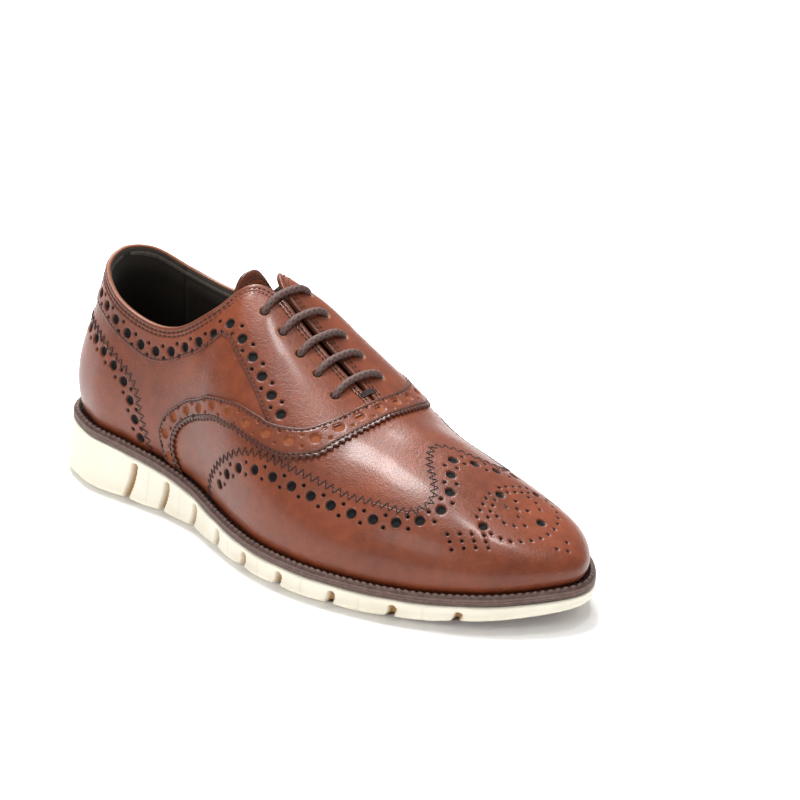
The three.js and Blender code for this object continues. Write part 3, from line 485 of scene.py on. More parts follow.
def punch(place, height, holes, cell):
    """Punched holes in a fine grid: corners round a small hole are drawn in towards it, those close to a rim
    are set on it, those inside sink by the hole's depth, and the leather round it dips a little. Returns the
    places, the heights, the mark of what is inside and the mark of a pale rim, which is a painted highlight."""
    place, height = place.copy(), height.copy()
    inside_mark, rim_highlight_mark = np.zeros(height.shape), np.zeros(height.shape)
    for centre, radius, depth, pale in holes:
        gather = max(radius * 1.06, 1.9 * cell)
        away = place - centre
        distance = np.linalg.norm(away, axis=-1)
        near = distance < gather + 1.3
        rim = near & (np.abs(distance - gather) < 0.5 * cell)
        inside = near & (distance < gather - 0.5 * cell)
        lip = near & ~inside & ~rim
        fresh = distance.copy()
        fresh[inside] *= radius / gather
        fresh[rim] = radius
        fresh[lip] = radius + (distance[lip] - gather) * (1.3 + gather - radius) / 1.3
        moved = near & (distance > 1e-6)
        place[moved] = centre + away[moved] * (fresh[moved] / distance[moved])[:, None]
        dip = 0.06 * min(radius, 2)
        height[lip] -= dip * np.clip(1 - (fresh[lip] - radius) / 1.2, 0, 1) ** 2
        height[rim] -= dip
        height[inside] -= depth
        # Inside marks: for most pieces the finish paints the floor near-black as painted shade in the hole, and
        # the rim's half mark darkens the edge as painted shade.
        inside_mark[inside] = 1
        inside_mark[rim] = 0.45
        # Pale rim: painted highlight along the hole's rim.
        rim_highlight_mark[rim | lip] = np.maximum(rim_highlight_mark[rim | lip],
                                          pale * np.clip(1.3 - (fresh[rim | lip] - radius) / 0.8, 0, 1))
    return place, height, inside_mark, rim_highlight_mark


def from_edge(place, edge, along):
    """Distance from an edge: the one measured along the rows, but never much less than the straight distance
    to the edge's nearest point."""
    spots = place.reshape(-1, 3)
    nearest = np.empty(len(spots))
    for i in range(0, len(spots), 20000):
        part = spots[i:i + 20000]
        square = (part**2).sum(1)[:, None] + (edge**2).sum(1)[None] - 2 * part @ edge.T
        nearest[i:i + 20000] = np.sqrt(np.maximum(square.min(1), 0))
    return np.maximum(along, nearest.reshape(along.shape) - 0.4)


def leather(name, strip, finish, height, thick, holes=(), furrows=(), rounding=(0.7, 0.7), raw=(0, 0),
            burnish_and_shade=(0, 0), shape=None, replaces=(), weld=False):
    """A leather panel on a strip: rounded edges, furrows for its stitch rows and punched holes, with a wall
    and a plain flesh side. shape may add to the shares before they are placed; raw says how pale the low and
    the high edge are, and the pair after it how much darker they get, partly burnish and partly painted shade."""
    share = strip.shares(1.1)
    uw = strip.at(share if shape is None else share + shape(share))
    place, out = on_last(uw), out_of_last(uw)
    low = from_edge(place, on_last(strip.low), share * strip.low_rate[:, None])
    high = from_edge(place, on_last(strip.high), (1 - share) * strip.high_rate[:, None])
    level = np.full(share.shape, float(height))
    for distance, radius in zip((low, high), rounding):
        if radius:
            level -= rolled(distance, radius)
    for edge, centre, depth in furrows:
        level -= furrow(low if edge == "low" else high, centre, depth)
    spot, level, inside, rim = punch(place, level, holes, strip.cell)
    top = spot + out * level[..., None]
    under = (place + out * (height - thick))[::2, ::2]
    points, faces = shell(top, under)
    pale = np.maximum(raw[0] * np.clip(1 - low / 0.6, 0, 1), raw[1] * np.clip(1 - high / 0.6, 0, 1))
    pale = pale * np.where(np.abs(strip.high[:, :1]) < 0.46, 1, 0.25)
    # Darker along both edges: partly burnish, partly painted shade where the edges fall into shade.
    dark = np.maximum(burnish_and_shade[0] * np.exp(-low / 1.8), burnish_and_shade[1] * np.exp(-high / 1.8))
    flesh = np.zeros(under.shape[0] * under.shape[1])
    # The raw mark holds the pale cut edge and the painted highlight on the lace-hole rims.
    marks = {"inside": np.concatenate([inside.ravel(), flesh]),
             "raw": np.concatenate([np.maximum(pale, rim).ravel(), flesh + max(raw)]),
             "burnish_and_shade": np.concatenate([dark.ravel(), flesh])}
    return new_piece(name, points, faces, finish, replaces=replaces, marks=marks, weld=weld)


# ------------------------------------------------------------------ holes and stitches
def brogue_row(run, count, sizes, depth):
    """Big holes evenly along a run, with a pair of small ones square to it between each two."""
    uw = run(run.evenly(0, run.end, 2 * (count - 1)))
    place = on_last(uw)
    across = np.cross(out_of_last(uw), unit(np.gradient(place, axis=0)))
    big, small = sizes.big_hole / 2, sizes.small_hole / 2
    holes = [(centre, big, depth, 0) for centre in place[::2]]
    for way in (-1, 1):
        holes += [(centre, small, depth * 0.85, 0) for centre in (place + across * way * 2.8)[1::2]]
    return holes


def medallion(sizes):
    """The toe's punched pattern, set out on a plan square to the toe's centre line and dropped on the last:
    two rings of small holes, a lattice on each cheek, a chain from the peak and four big holes."""
    spots = [(-9.5, 0, 1), (11, 3, 1), (-3.5, 19.5, 1), (-3.5, -20.5, 1)]
    for reach, width, start, count in ((17.2, 20.6, 100, 15), (9.2, 12.2, 105, 9)):
        turn = np.radians(np.linspace(-start, start, count))
        spots += [(reach * math.cos(a), width * math.sin(a), 0) for a in turn]
    for side in (-1, 1):
        for k in range(5):
            spots += [(-12.5 + 1.1 * k, side * (3.6 + 3.8 * k), 0), (-8.6 + 1.3 * k, side * (4.6 + 3.6 * k), 0)]
        for row in range(3):
            spots += [(-13.5 + 4.3 * k + 2.1 * row, side * (33 - 3.2 * k + 1.4 * row), 0) for k in range(4)]
        spots += [(24.5, side * 3.8, 0)]
    spots += [(0, 0, 0), (3.2, 3.4, 0), (3.2, -3.4, 0), (-3.2, 3.4, 0), (-3.2, -3.4, 0), (28, 0, 0)]
    wide = [spot[:2] for spot in spots if spot[2]]
    spots = [s for s in spots if s[2] or min(math.dist(s[:2], other) for other in wide) > 4]
    forward, side, big = np.array(spots, float).T
    turn = math.radians(4)
    plan = np.stack([112.5 + forward * math.cos(turn) - side * math.sin(turn),
                     2.6 + forward * math.sin(turn) + side * math.cos(turn)], -1)
    u, w = np.meshgrid(np.linspace(0.84, 1, 220), np.linspace(0.3, 1.7, 420), indexing="ij")
    toe = surface(u, w).reshape(-1, 3)
    nearest = [((toe[:, :2] - spot) ** 2).sum(1).argmin() for spot in plan]
    wide_hole = (sizes.big_hole * 0.45, sizes.hole_depth, 0)
    dot = (sizes.dot_hole / 2, sizes.hole_depth * 0.8, 0)
    return [(toe[i], *(wide_hole if b else dot)) for i, b in zip(nearest, big)]


def stitches(name, starts, ends, out, radius, finish, body="shoe", sink=0.3, rise=0.12,
             replaces=(), sides=6):
    """One short capsule of thread for each start and end: five rings whose centres arch up from the leather
    and whose radii close in at both ends."""
    share = np.array([0, 0.14, 0.5, 0.86, 1])
    lift = np.array([-sink, -0.02, rise, -0.02, -sink])
    girth = np.array([0.35, 0.85, 1, 0.85, 0.35]) * radius
    along = unit(ends - starts)
    out = unit(out - (out * along).sum(-1, keepdims=True) * along)
    across = np.cross(along, out)
    centre = starts[:, None] + (ends - starts)[:, None] * share[:, None] + out[:, None] * lift[:, None]
    turn = np.arange(sides) * 2 * np.pi / sides
    ring = across[:, None] * np.cos(turn)[:, None] + out[:, None] * np.sin(turn)[:, None]
    points = centre[:, :, None] + ring[:, None] * girth[:, None, None]
    one = grid_faces(len(share), sides, close_columns=True)
    caps = np.stack([np.arange(sides)[::-1], np.arange(sides) + sides * (len(share) - 1)])
    first = np.arange(len(starts)) * len(share) * sides
    faces = [(one + first[:, None, None]).reshape(-1, 4), (caps + first[:, None, None]).reshape(-1, sides)]
    return new_piece(name, points, faces, finish, body, replaces)


def seam_places(run, distance, pitch, start=0, stop=None):
    """Starts, ends and normals of the stitches in a row beside a run."""
    stop = run.end if stop is None else stop
    count = max(2, round(run.length(start, stop) / pitch))
    fine = run(run.evenly(start, stop, 8 * count))
    moved = beside(fine, distance) if distance else fine
    place, out = on_last(moved), out_of_last(moved)
    return place[:-8:8], place[6::8], out[3::8]


def seam(name, rows, height, sizes, finish):
    """Stitch rows as one piece: each row is a run, its distance and its range, at a height over the last."""
    starts, ends, outs = [], [], []
    for row in rows:
        a, b, n = seam_places(*row[:2], sizes.stitch, *row[2:])
        starts.append(a + n * height)
        ends.append(b + n * height)
        outs.append(n)
    return stitches(name, np.concatenate(starts), np.concatenate(ends), np.concatenate(outs),
                    sizes.thread / 2, finish)


def zigzag(name, run, sizes, finish):
    """A zig-zag seam: one stitch for each flank, between points set in turn on both sides of a run."""
    teeth = round(run.length() / sizes.tooth)
    uw = run(run.evenly(0, run.end, 2 * teeth))
    way = np.where(np.arange(len(uw)) % 2, 1.0, -1.0)[:, None] * sizes.zigzag
    place, out = on_last(uw), out_of_last(uw)
    across = np.cross(out, unit(np.gradient(place, axis=0)))
    place = place + across * way + out * 0.1
    return stitches(name, place[:-1], place[1:], out[:-1], sizes.thread * 0.42, finish, sink=0.08, rise=0.06)


# ------------------------------------------------------------------ finishes
class Number:
    """A number socket that arithmetic can be written on; each operator adds one Math node."""

    def __init__(self, finish, socket):
        self.finish, self.socket = finish, socket

    def math(self, operation, *values):
        """The number that one Math node makes from the values."""
        node = self.finish.node("Math", {"operation": operation}, dict(enumerate(values)))
        return Number(self.finish, node.outputs[0])

    def __add__(self, other):
        return self.math("ADD", self, other)

    __radd__ = __add__

    def __sub__(self, other):
        return self.math("SUBTRACT", self, other)

    def __rsub__(self, other):
        return self.math("SUBTRACT", other, self)

    def __mul__(self, other):
        return self.math("MULTIPLY", self, other)

    __rmul__ = __mul__

    def clipped(self, low, high):
        """This number carried from low..high to 0..1 and held there."""
        return ((self - low) * (1 / (high - low))).held()

    def held(self):
        """This number held between 0 and 1."""
        return self.math("MINIMUM", self.math("MAXIMUM", self, 0.0), 1.0)


def srgb(*screen):
    """A colour given as 0 to 255 on screen, as the linear values that a shader takes."""
    return (*[c / 255 / 12.92 if c <= 10 else ((c / 255 + 0.055) / 1.055) ** 2.4 for c in screen], 1)


class Finish:
    """A node material with one way of adding nodes."""

    def __init__(self, name):
        self.material = bpy.data.materials.new(name)
        self.material.use_nodes = True
        self.tree = self.material.node_tree
        self.tree.nodes.clear()

    def node(self, kind, settings=None, inputs=None):
        """Adds a node: its settings first, then its sockets' values or links."""
        node = self.tree.nodes.new("ShaderNode" + kind)
        for name, value in (settings or {}).items():
            setattr(node, name, value)
        for name, value in (inputs or {}).items():
            if isinstance(value, Number):
                value = value.socket
            if isinstance(value, bpy.types.NodeSocket):
                self.tree.links.new(value, node.inputs[name])
            else:
                node.inputs[name].default_value = value
        return node

    def place(self):
        """Object coordinates."""
        return self.node("TexCoord").outputs["Object"]

    def mark(self, name):
        """A point attribute as a number."""
        return Number(self, self.node("Attribute", {"attribute_name": name}).outputs["Fac"])

    def noise(self, scale, detail=3, roughness=0.55, stretch=(1, 1, 1)):
        """Noise on object coordinates, about 0.5."""
        where = self.node("Mapping", None, {"Vector": self.place(), "Scale": stretch}).outputs[0]
        inputs = {"Vector": where, "Scale": scale, "Detail": detail, "Roughness": roughness}
        return Number(self, self.node("TexNoise", None, inputs).outputs[0])

    def cells(self, scale, feature="F1"):
        """Distance to the nearest cell point, for pores and grain."""
        node = self.node("TexVoronoi", {"feature": feature}, {"Vector": self.place(), "Scale": scale})
        return Number(self, node.outputs["Distance"])

    def mix(self, share, first, second):
        """Colours mixed by a number."""
        node = self.node("Mix", {"data_type": "RGBA"}, {0: share, 6: first, 7: second})
        return node.outputs[2]

    def bump(self, height, strength, distance):
        """Normals of a height pattern."""
        inputs = {"Height": height, "Strength": strength, "Distance": distance}
        return self.node("Bump", None, inputs).outputs[0]

    def done(self, **inputs):
        """The principled shader with these inputs, joined to the output."""
        named = {name.replace("_", " "): value for name, value in inputs.items()}
        shader = self.node("BsdfPrincipled", None, named)
        self.node("OutputMaterial", None, {"Surface": shader.outputs[0]})
        return self.material


def polished_leather(name, colours, below):
    """Waxed calf: brown clouds, edges darkened partly by burnish and partly as painted shade, a pale raw edge
    with painted highlight on the lace-hole rims, the colour below in the holes (near-black painted shade for
    most pieces), a fine grain of pores and creases, and a polished coat.
    """
    finish = Finish(name)
    cloud, mottle = finish.noise(28, 3), finish.noise(190, 4)
    inside, raw, burnish_and_shade = finish.mark("inside"), finish.mark("raw"), finish.mark("burnish_and_shade")
    tone = finish.mix((cloud * 0.75 + mottle * 0.45 - 0.1).clipped(0.25, 0.75), colours.leather_deep,
                      colours.leather)
    # Dark brown along the edges: partly real burnish, partly painted shade.
    tone = finish.mix((burnish_and_shade * 0.75).held(), tone, colours.leather_burnish_and_shade)
    # Pale raw edge, and painted highlight on the lace-hole rims.
    tone = finish.mix(raw.held(), tone, colours.raw_edge_and_rim_highlight)
    # Inside the holes: the colour below, near-black painted shade for most pieces, warm leather for the band.
    tone = finish.mix(inside.clipped(0.2, 0.9), tone, below)
    pores, creases = finish.cells(1150), finish.cells(520, "SMOOTH_F1")
    grain = pores * 0.5 + creases * 0.6 + finish.noise(1400, 2) * 0.5
    rough = 0.27 + mottle * 0.14 + pores * 0.1 + inside * 0.4 + raw * 0.2
    return finish.done(Base_Color=tone, Roughness=rough.held(), Coat_Weight=((1 - inside) * 0.22).held(),
                       Coat_Roughness=0.16, IOR=1.4, Normal=finish.bump(grain, 0.34, 0.0004))


def lining_leather(name, colours):
    """Dull dark lining: a soft nap with faint clouds and close pores."""
    finish = Finish(name)
    cloud, nap = finish.noise(45, 4), finish.noise(900, 3)
    tone = finish.mix(cloud.clipped(0.3, 0.7), colours.lining, colours.lining_light)
    grain = nap + finish.cells(1500) * 0.6
    return finish.done(Base_Color=tone, Roughness=(0.62 + cloud * 0.2).held(), Sheen_Weight=0.08,
                       Normal=finish.bump(grain, 0.3, 0.0003))


def waxed_thread(name, colours):
    """Twisted waxed thread: fine slanted plies and uneven wax."""
    finish = Finish(name)
    ply = finish.noise(1600, 2, stretch=(1, 1, 2.5))
    tone = finish.mix(ply.clipped(0.35, 0.7), colours.thread, colours.thread_light)
    return finish.done(Base_Color=tone, Roughness=(0.42 + ply * 0.25).held(),
                       Normal=finish.bump(ply, 0.4, 0.0002))


def woven_lace(name, colours):
    """Waxed cotton lace: painted highlight on the ridges where the strands cross, painted shade between them,
    and fine fibres along them.
    """
    finish = Finish(name)
    strand, fibre = finish.mark("strand"), finish.noise(1500, 3)
    # Painted highlight on the raised strands and painted shade between them.
    tone = finish.mix((strand * 0.7 + fibre * 0.5 - 0.1).held(), colours.lace, colours.lace_ridge_highlight)
    return finish.done(Base_Color=tone, Roughness=(0.55 + fibre * 0.25).held(),
                       Normal=finish.bump(fibre + strand * 0.5, 0.35, 0.0003))


def sole_foam(name, colours):
    """Moulded cream foam: a very fine pebbled skin, painted tan shade inside the notches and grooves, slightly
    darker and yellower in clouds near the floor.
    """
    finish = Finish(name)
    cloud, pebble = finish.noise(35, 3), finish.noise(1100, 2)
    notch, low = finish.mark("notch"), finish.mark("low")
    tone = finish.mix(cloud.clipped(0.25, 0.8), colours.foam, colours.foam_shade)
    # Darker and yellower in clouds towards the floor.
    tone = finish.mix((low * cloud * 0.5).held(), tone, colours.foam_low_tone)
    # Tan painted shade inside the flex notches, the faint lines between them and the grooves underneath.
    tone = finish.mix(notch.held(), tone, colours.foam_notch_shade)
    return finish.done(Base_Color=tone, Roughness=(0.5 + pebble * 0.2).held(),
                       Normal=finish.bump(pebble, 0.25, 0.0004))


def welt_rubber(name, colours):
    """Brown welt rubber: a scuffed ribbed edge, paler on its outer face, with painted highlight on the bumps of
    the bead and dark hollows between.
    """
    finish = Finish(name)
    high, scuff = finish.mark("high"), finish.noise(420, 4)
    # Paler outer face, and painted highlight on the bead's bumps.
    tone = finish.mix((high * 0.8 + scuff * 0.9 - 0.35).held(), colours.welt, colours.welt_pale_and_highlight)
    return finish.done(Base_Color=tone, Roughness=(0.4 + scuff * 0.3).held(),
                       Normal=finish.bump(scuff + finish.noise(1300, 2), 0.5, 0.0005))


def plain_finish(name, first, second, scale, roughness, metallic=0.0, strength=0.2):
    """A two-tone finish for the hidden pieces: clouds of a second colour and a little surface."""
    finish = Finish(name)
    cloud, fine = finish.noise(scale, 4), finish.noise(scale * 9, 2)
    tone = finish.mix(cloud.clipped(0.3, 0.7), first, second)
    return finish.done(Base_Color=tone, Metallic=metallic, Roughness=(roughness + fine * 0.15).held(),
                       Normal=finish.bump(fine, strength, 0.0003))


FINISHES = {}


def finish_of(kind, colours):
    """Each finish is made once and shared by its pieces."""
    makers = {
        # Holes floored in near-black: painted shade standing for the backing in shadow.
        "leather": lambda n: polished_leather(n, colours, colours.hole_backing_shade),
        "band_leather": lambda n: polished_leather(n, colours, colours.hole_warm),
        "lining": lambda n: lining_leather(n, colours),
        "thread": lambda n: waxed_thread(n, colours),
        "lace": lambda n: woven_lace(n, colours),
        "foam": lambda n: sole_foam(n, colours),
        "welt": lambda n: welt_rubber(n, colours),
        "tread": lambda n: plain_finish(n, srgb(112, 78, 56), srgb(92, 62, 44), 60, 0.6),
        "board": lambda n: plain_finish(n, srgb(160, 132, 98), srgb(138, 110, 78), 300, 0.8, strength=0.4),
        "brass": lambda n: plain_finish(n, srgb(176, 142, 84), srgb(148, 116, 64), 200, 0.25, 1.0, 0.08),
        "aglet": lambda n: plain_finish(n, srgb(58, 38, 30), srgb(46, 30, 24), 150, 0.2, strength=0.05),
        "wadding": lambda n: plain_finish(n, srgb(88, 80, 70), srgb(70, 62, 54), 500, 0.85, strength=0.5),
    }
    if kind not in FINISHES:
        FINISHES[kind] = makers[kind](kind)
    return FINISHES[kind]


# ------------------------------------------------------------------ upper
def make_wing(sizes, colours):
    """Toe wing-tip: ruled from the feather line and the toe's centre line back to the wing's edge, both
    halves meeting at the toe."""
    foot = [(0.43, 0), (0.5, -0.02), (0.6, -0.02), (0.7, -0.02), (0.8, -0.02), (0.88, -0.02), (0.94, -0.02),
            (1, -0.02)]
    tip = [(1, 0.2), (1, 0.45), (1, 0.7), (1, 1)]
    low = Run(over_ridge(foot + tip), (7, 15))
    high = Run(over_ridge(WING_EDGE))
    half = [(0, 0), (4, 7), (7, 11), (11, 14)]
    facing = half + [(22 - a, 28 - b) for a, b in half[-2::-1]]
    strip = Strip(low, high, facing, sizes.cell)
    holes = brogue_row(Run(over_ridge(WING_HOLES)), 31, sizes, sizes.hole_depth) + medallion(sizes)
    leather("toe_wingtip", strip, finish_of("leather", colours), 0.03, 1.5, holes,
            rounding=(0, 0.12), burnish_and_shade=(0, 0.25), replaces=["toe_wingtip"], weld=True)
    zigzag("wing_zigzag_seam", high, sizes, finish_of("thread", colours))


def make_vamp(sizes, colours):
    """Vamp between the band and the wing, running under the band."""
    under_band = [(u - 0.012, w + 0.03 * (w > 0)) if w < 1 else (u - 0.012, w) for u, w in BAND_BOTTOM]
    low, high = Run(over_ridge(under_band)), Run(over_ridge(WING_EDGE))
    strip = Strip(low, high, [(0, 0), (8, 4), (16, 14), (24, 24), (32, 28)], sizes.cell)
    leather("vamp", strip, finish_of("leather", colours), 0, 1.4, rounding=(0, 0.12), burnish_and_shade=(0, 0.25),
            replaces=["vamp"])


def make_quarters(sizes, colours):
    """Quarters from the counter to the band, running up under the collar and facing."""
    foot = [(0.272, 0), (0.3, 0), (0.325, 0.0)]
    band = [(u + 0.012, w - 0.012) for u, w in BAND_TOP_REAR[1:]]
    lower = [*COUNTER_EDGE, *foot[1:], *band]
    upper = [(u + 0.008 * (u > 0.45), w + 0.025) for u, w in [*COLLAR_EDGE, *FACING_EDGE[1:]]]
    facing = [(0, 0), (5, 4.6), (7, 6.1), (10, 6.75), (13, 7.4), (17, 10), (21, 13.8), (25, 17)]
    for side, sign in (("lateral", 1), ("medial", -1)):
        low, high = Run(to_side(lower, sign), (11, 13)), Run(to_side(upper, sign), (13,))
        strip = Strip(low, high, facing, sizes.cell)
        leather(f"quarter_{side}", strip, finish_of("leather", colours), 0, 1.4, rounding=(0.12, 0),
                burnish_and_shade=(0.25, 0), replaces=[f"quarter_{side}"])


def make_collars(sizes, colours):
    """Collar and facing of each side in one piece, from the heel seam to the throat, with its brogueing, its
    lace holes and the furrows of its stitch rows."""
    throat = [(u + 0.011, w) for u, w in BAND_TOP_FRONT[1:]]
    lower = [*COLLAR_EDGE, *FACING_EDGE[1:-1], (0.604, 0.552), *throat]
    topline = [(u, 1) for u in (0, 0.06, 0.12, 0.184, 0.24, 0.292, 0.345, 0.393, 0.425, 0.46, 0.49, 0.52, 0.56,
                                0.6, 0.635, 0.66, 0.688, 0.711)]
    facing = [(0, 0), (7, 4), (13, 9), (17, 14), (20, 16), (23, 17)]
    for side, sign in (("lateral", 1), ("medial", -1)):
        low, high = Run(to_side(lower, sign), (13,)), Run(to_side(topline, sign))
        strip = Strip(low, high, facing, sizes.cell)
        holes = brogue_row(Run(to_side(COLLAR_HOLES, sign)), 12, sizes, sizes.hole_depth)
        holes += brogue_row(Run(to_side(FACING_HOLES, sign)), 7, sizes, sizes.hole_depth)[1:]
        lace_holes = on_last(np.array(to_side(LACE_HOLES, sign)))
        # Lace holes get a pale rim: painted highlight on the hole's rim.
        holes += [(centre, sizes.lace_hole / 2, 2.0, 0.9) for centre in lace_holes]
        furrows = [("high", 2.4, 0.32), ("high", 4.3, 0.32), ("low", 1.3, 0.15)]
        leather(f"collar_facing_{side}", strip, finish_of("leather", colours), 0.8, 2.2, holes, furrows,
                rounding=(0.35, 0.8), raw=(0, 0.55), burnish_and_shade=(0.7, 0.6), replaces=[f"collar_facing_{side}"])
        rows = [(high, -2.4 * sign, 0, 16.4), (high, -4.3 * sign, 0, 16.4), (low, 1.3 * sign, 0, 17)]
        seam(f"collar_seam_{side}", rows, 0.62, sizes, finish_of("thread", colours))


def make_counter(sizes, colours):
    """Heel counter cover, carried round the heel from the medial to the lateral side."""
    foot = Run(round_heel([(u, -0.015) for u in (0, 0.05, 0.095, 0.16, 0.205, 0.245, 0.27)]))
    top = Run(round_heel(COUNTER_EDGE))
    strip = Strip(foot, top, [(0, 0), (2, 3), (6, 11), (10, 19), (12, 22)], sizes.cell)
    holes = brogue_row(Run(round_heel(COUNTER_HOLES)), 21, sizes, sizes.hole_depth)
    leather("heel_counter_cover", strip, finish_of("leather", colours), 0.03, 1.5, holes, rounding=(0, 0.12),
            burnish_and_shade=(0, 0.25), replaces=["heel_counter_cover"])
    zigzag("counter_zigzag_seam", top, sizes, finish_of("thread", colours))


def make_band(sizes, colours):
    """Brogued band over the vamp and quarters: gimped along its front edge, stitched along both."""
    top, bottom = Run(over_ridge(BAND_TOP_REAR + BAND_TOP_FRONT[1:])), Run(over_ridge(BAND_BOTTOM))
    half = [(0, 0), (4, 4), (8, 6.2), (12, 9.4), (15, 13), (18, 16)]
    facing = half + [(36 - a, 32 - b) for a, b in half[-2::-1]]
    strip = Strip(top, bottom, facing, sizes.cell * 0.82)
    tooth = np.abs((np.arange(len(strip.high)) % 6) / 3 - 1) * sizes.gimp

    def gimped(share):
        """A saw edge: a triangle wave along the rows that fades in towards the high edge."""
        return np.clip((share - 0.8) / 0.2, 0, 1) ** 2 * (tooth / strip.high_rate)[:, None]

    holes = brogue_row(Run(over_ridge(BAND_HOLES)), 27, sizes, 1.05)
    furrows = [("low", 1.4, 0.2), ("high", 1.2, 0.25)]
    # Both band edges are darkened strongly: partly burnish, partly painted shade along the gimped edge.
    leather("brogued_band", strip, finish_of("band_leather", colours), 1.3, 1.2, holes, furrows,
            rounding=(0.5, 0.5), burnish_and_shade=(0.9, 1.2), shape=gimped, replaces=["brogued_band"])
    seam("band_seam", [(top, -1.4), (bottom, 1.3)], 1.2, sizes, finish_of("thread", colours))


# ------------------------------------------------------------------ inside
def sheet_shell(u0, u1, w0, w1, cell, height, thick):
    """Closed sheet over a rectangle of (u, w); height and thickness are functions of u and w."""
    middle = (w0 + w1) / 2
    steps_u = 2 * max(2, round(Run([(u0, middle), ((u0 + u1) / 2, middle), (u1, middle)]).length() / cell / 2))
    steps_w = 2 * max(2, round(90 * abs(w1 - w0) / cell / 2))
    u, w = np.meshgrid(np.linspace(u0, u1, steps_u + 1), np.linspace(w0, w1, steps_w + 1), indexing="ij")
    uw = np.stack([u, w], -1)
    place, out = on_last(uw), out_of_last(uw)
    upper, depth = height(u, w), thick(u, w)
    return shell(place + out * upper[..., None], (place + out * (upper - depth)[..., None])[::2, ::2])


def make_linings(sizes, colours):
    """Linings: smooth leather inside the quarters and vamp and a grip at the heel. They rise to the topline,
    where they turn out to meet the upper."""
    finish = finish_of("lining", colours)

    def outer(u, w):
        """Depth of the lining's hidden face: 3.6 mm, closing to the upper near the topline."""
        near = np.clip((np.minimum(w, 2 - w) - 0.86) / 0.13, 0, 1) * (np.abs(u) < 0.7)
        return -3.6 + 2.75 * near**2 * (3 - 2 * near)

    def thin(u, w):
        """Lining leather, 1 mm."""
        return np.full(u.shape, 1.0)

    for name, u0, u1, w0, w1 in (("quarter_lining_lateral", 0.121, 0.7, 0.02, 0.992),
                                 ("quarter_lining_medial", -0.121, -0.7, 0.02, 0.992),
                                 ("heel_grip", -0.12, 0.12, 0.02, 0.992),
                                 ("vamp_lining", 0.701, 0.999, 0.02, 1.98)):
        points, faces = sheet_shell(u0, u1, w0, w1, 1.6, outer, thin)
        new_piece(name, points, faces, finish, replaces=[name])


def make_reinforcements(sizes, colours):
    """Fibre board shells between upper and lining: the stiffener round the heel and the puff over the toe."""
    for name, u0, u1, w0, w1 in (("heel_stiffener", -0.24, 0.24, 0.03, 0.6),
                                 ("toe_puff", 0.88, 0.999, 0.14, 1.86)):
        points, faces = sheet_shell(u0, u1, w0, w1, 1.6, lambda u, w: np.full(u.shape, -2.4),
                                    lambda u, w: np.full(u.shape, 0.7))
        new_piece(name, points, faces, finish_of("board", colours), replaces=[name])


def make_collar_padding(sizes, colours):
    """Foam rolls under the collar: lens-shaped strips that thin to nothing at their edges."""
    for side, sign in (("lateral", 1), ("medial", -1)):
        def belly(u, w):
            """Half-thickness: an arch across the strip that also closes at its ends."""
            across = np.clip(1 - ((w - 0.9) / 0.074) ** 2, 0, 1)
            ends = np.clip(1 - ((np.abs(u) - 0.208) / 0.199) ** 8, 0, 1)
            return 0.05 + 0.75 * np.sqrt(across * ends)

        def top(u, w):
            """Height of the outer face: half the padding's thickness above its middle."""
            return -2.35 + 0.5 * belly(u, w)

        points, faces = sheet_shell(0.01 * sign, 0.405 * sign, 0.828, 0.972, 1.6, top, belly)
        piece = new_piece(f"collar_foam_{side}", points, faces, finish_of("wadding", colours),
                          replaces=[f"collar_foam_{side}"])


def footprint(side, u0, u1, steps):
    """Feather points and plan normals of one side, evenly by length from u0 to u1."""
    u = np.linspace(u0, u1, 400)
    gone = travelled(outline(side, u)[0])
    return outline(side, np.interp(np.linspace(0, gone[-1], steps + 1), gone, u))


def slab(u0, u1, reach, cell, top, bottom):
    """Closed slab across the shoe between both sides' outlines: top and bottom give heights from x, y and
    the distance to the slab's edge."""
    steps = 2 * round((u1 - u0) * 310 / cell / 2)
    (a, na), (b, nb) = footprint("lateral", u0, u1, steps), footprint("medial", u0, u1, steps)
    left, right = a[:, :2] + na * reach, b[:, :2] + nb * reach
    width = np.linalg.norm(right - left, axis=-1)
    count = 2 * round(width.max() / cell / 2) + 1
    share = (1 - np.cos(np.linspace(0, np.pi, count))) / 2
    share = 0.35 * share + 0.65 * np.linspace(0, 1, count)
    flat = left[:, None] + (right - left)[:, None] * share[None, :, None]
    gone = travelled(a)
    ends = np.minimum(gone, gone[-1] - gone)[:, None]
    edge = np.minimum(np.minimum(share, 1 - share)[None] * width[:, None], ends + (0 if u0 > 0.001 else 8))
    x, y = flat[..., 0], flat[..., 1]
    upper = np.concatenate([flat, top(x, y, edge)[..., None]], -1)
    lower = np.concatenate([flat, bottom(x, y, edge)[..., None]], -1)[::2, ::2]
    return shell(upper, lower)


def make_sock_liner(sizes, colours):
    """Cushioned sock: crowned across, cupped up a little towards its edge, over the whole insole."""
    def top(x, y, edge):
        """Height of the upper face: the feather line's, rounded off and cupped up towards the edge."""
        return feather_z(x) + 5.6 - rolled(edge, 1.4) + 0.5 * np.exp(-(edge / 7) ** 2)

    points, faces = slab(0.004, 0.996, -6.2, 1.2, top, lambda x, y, edge: feather_z(x) + 2.1)
    piece = new_piece("sock_liner", points, faces, finish_of("lining", colours),
                      replaces=["sock_liner"], weld=True)


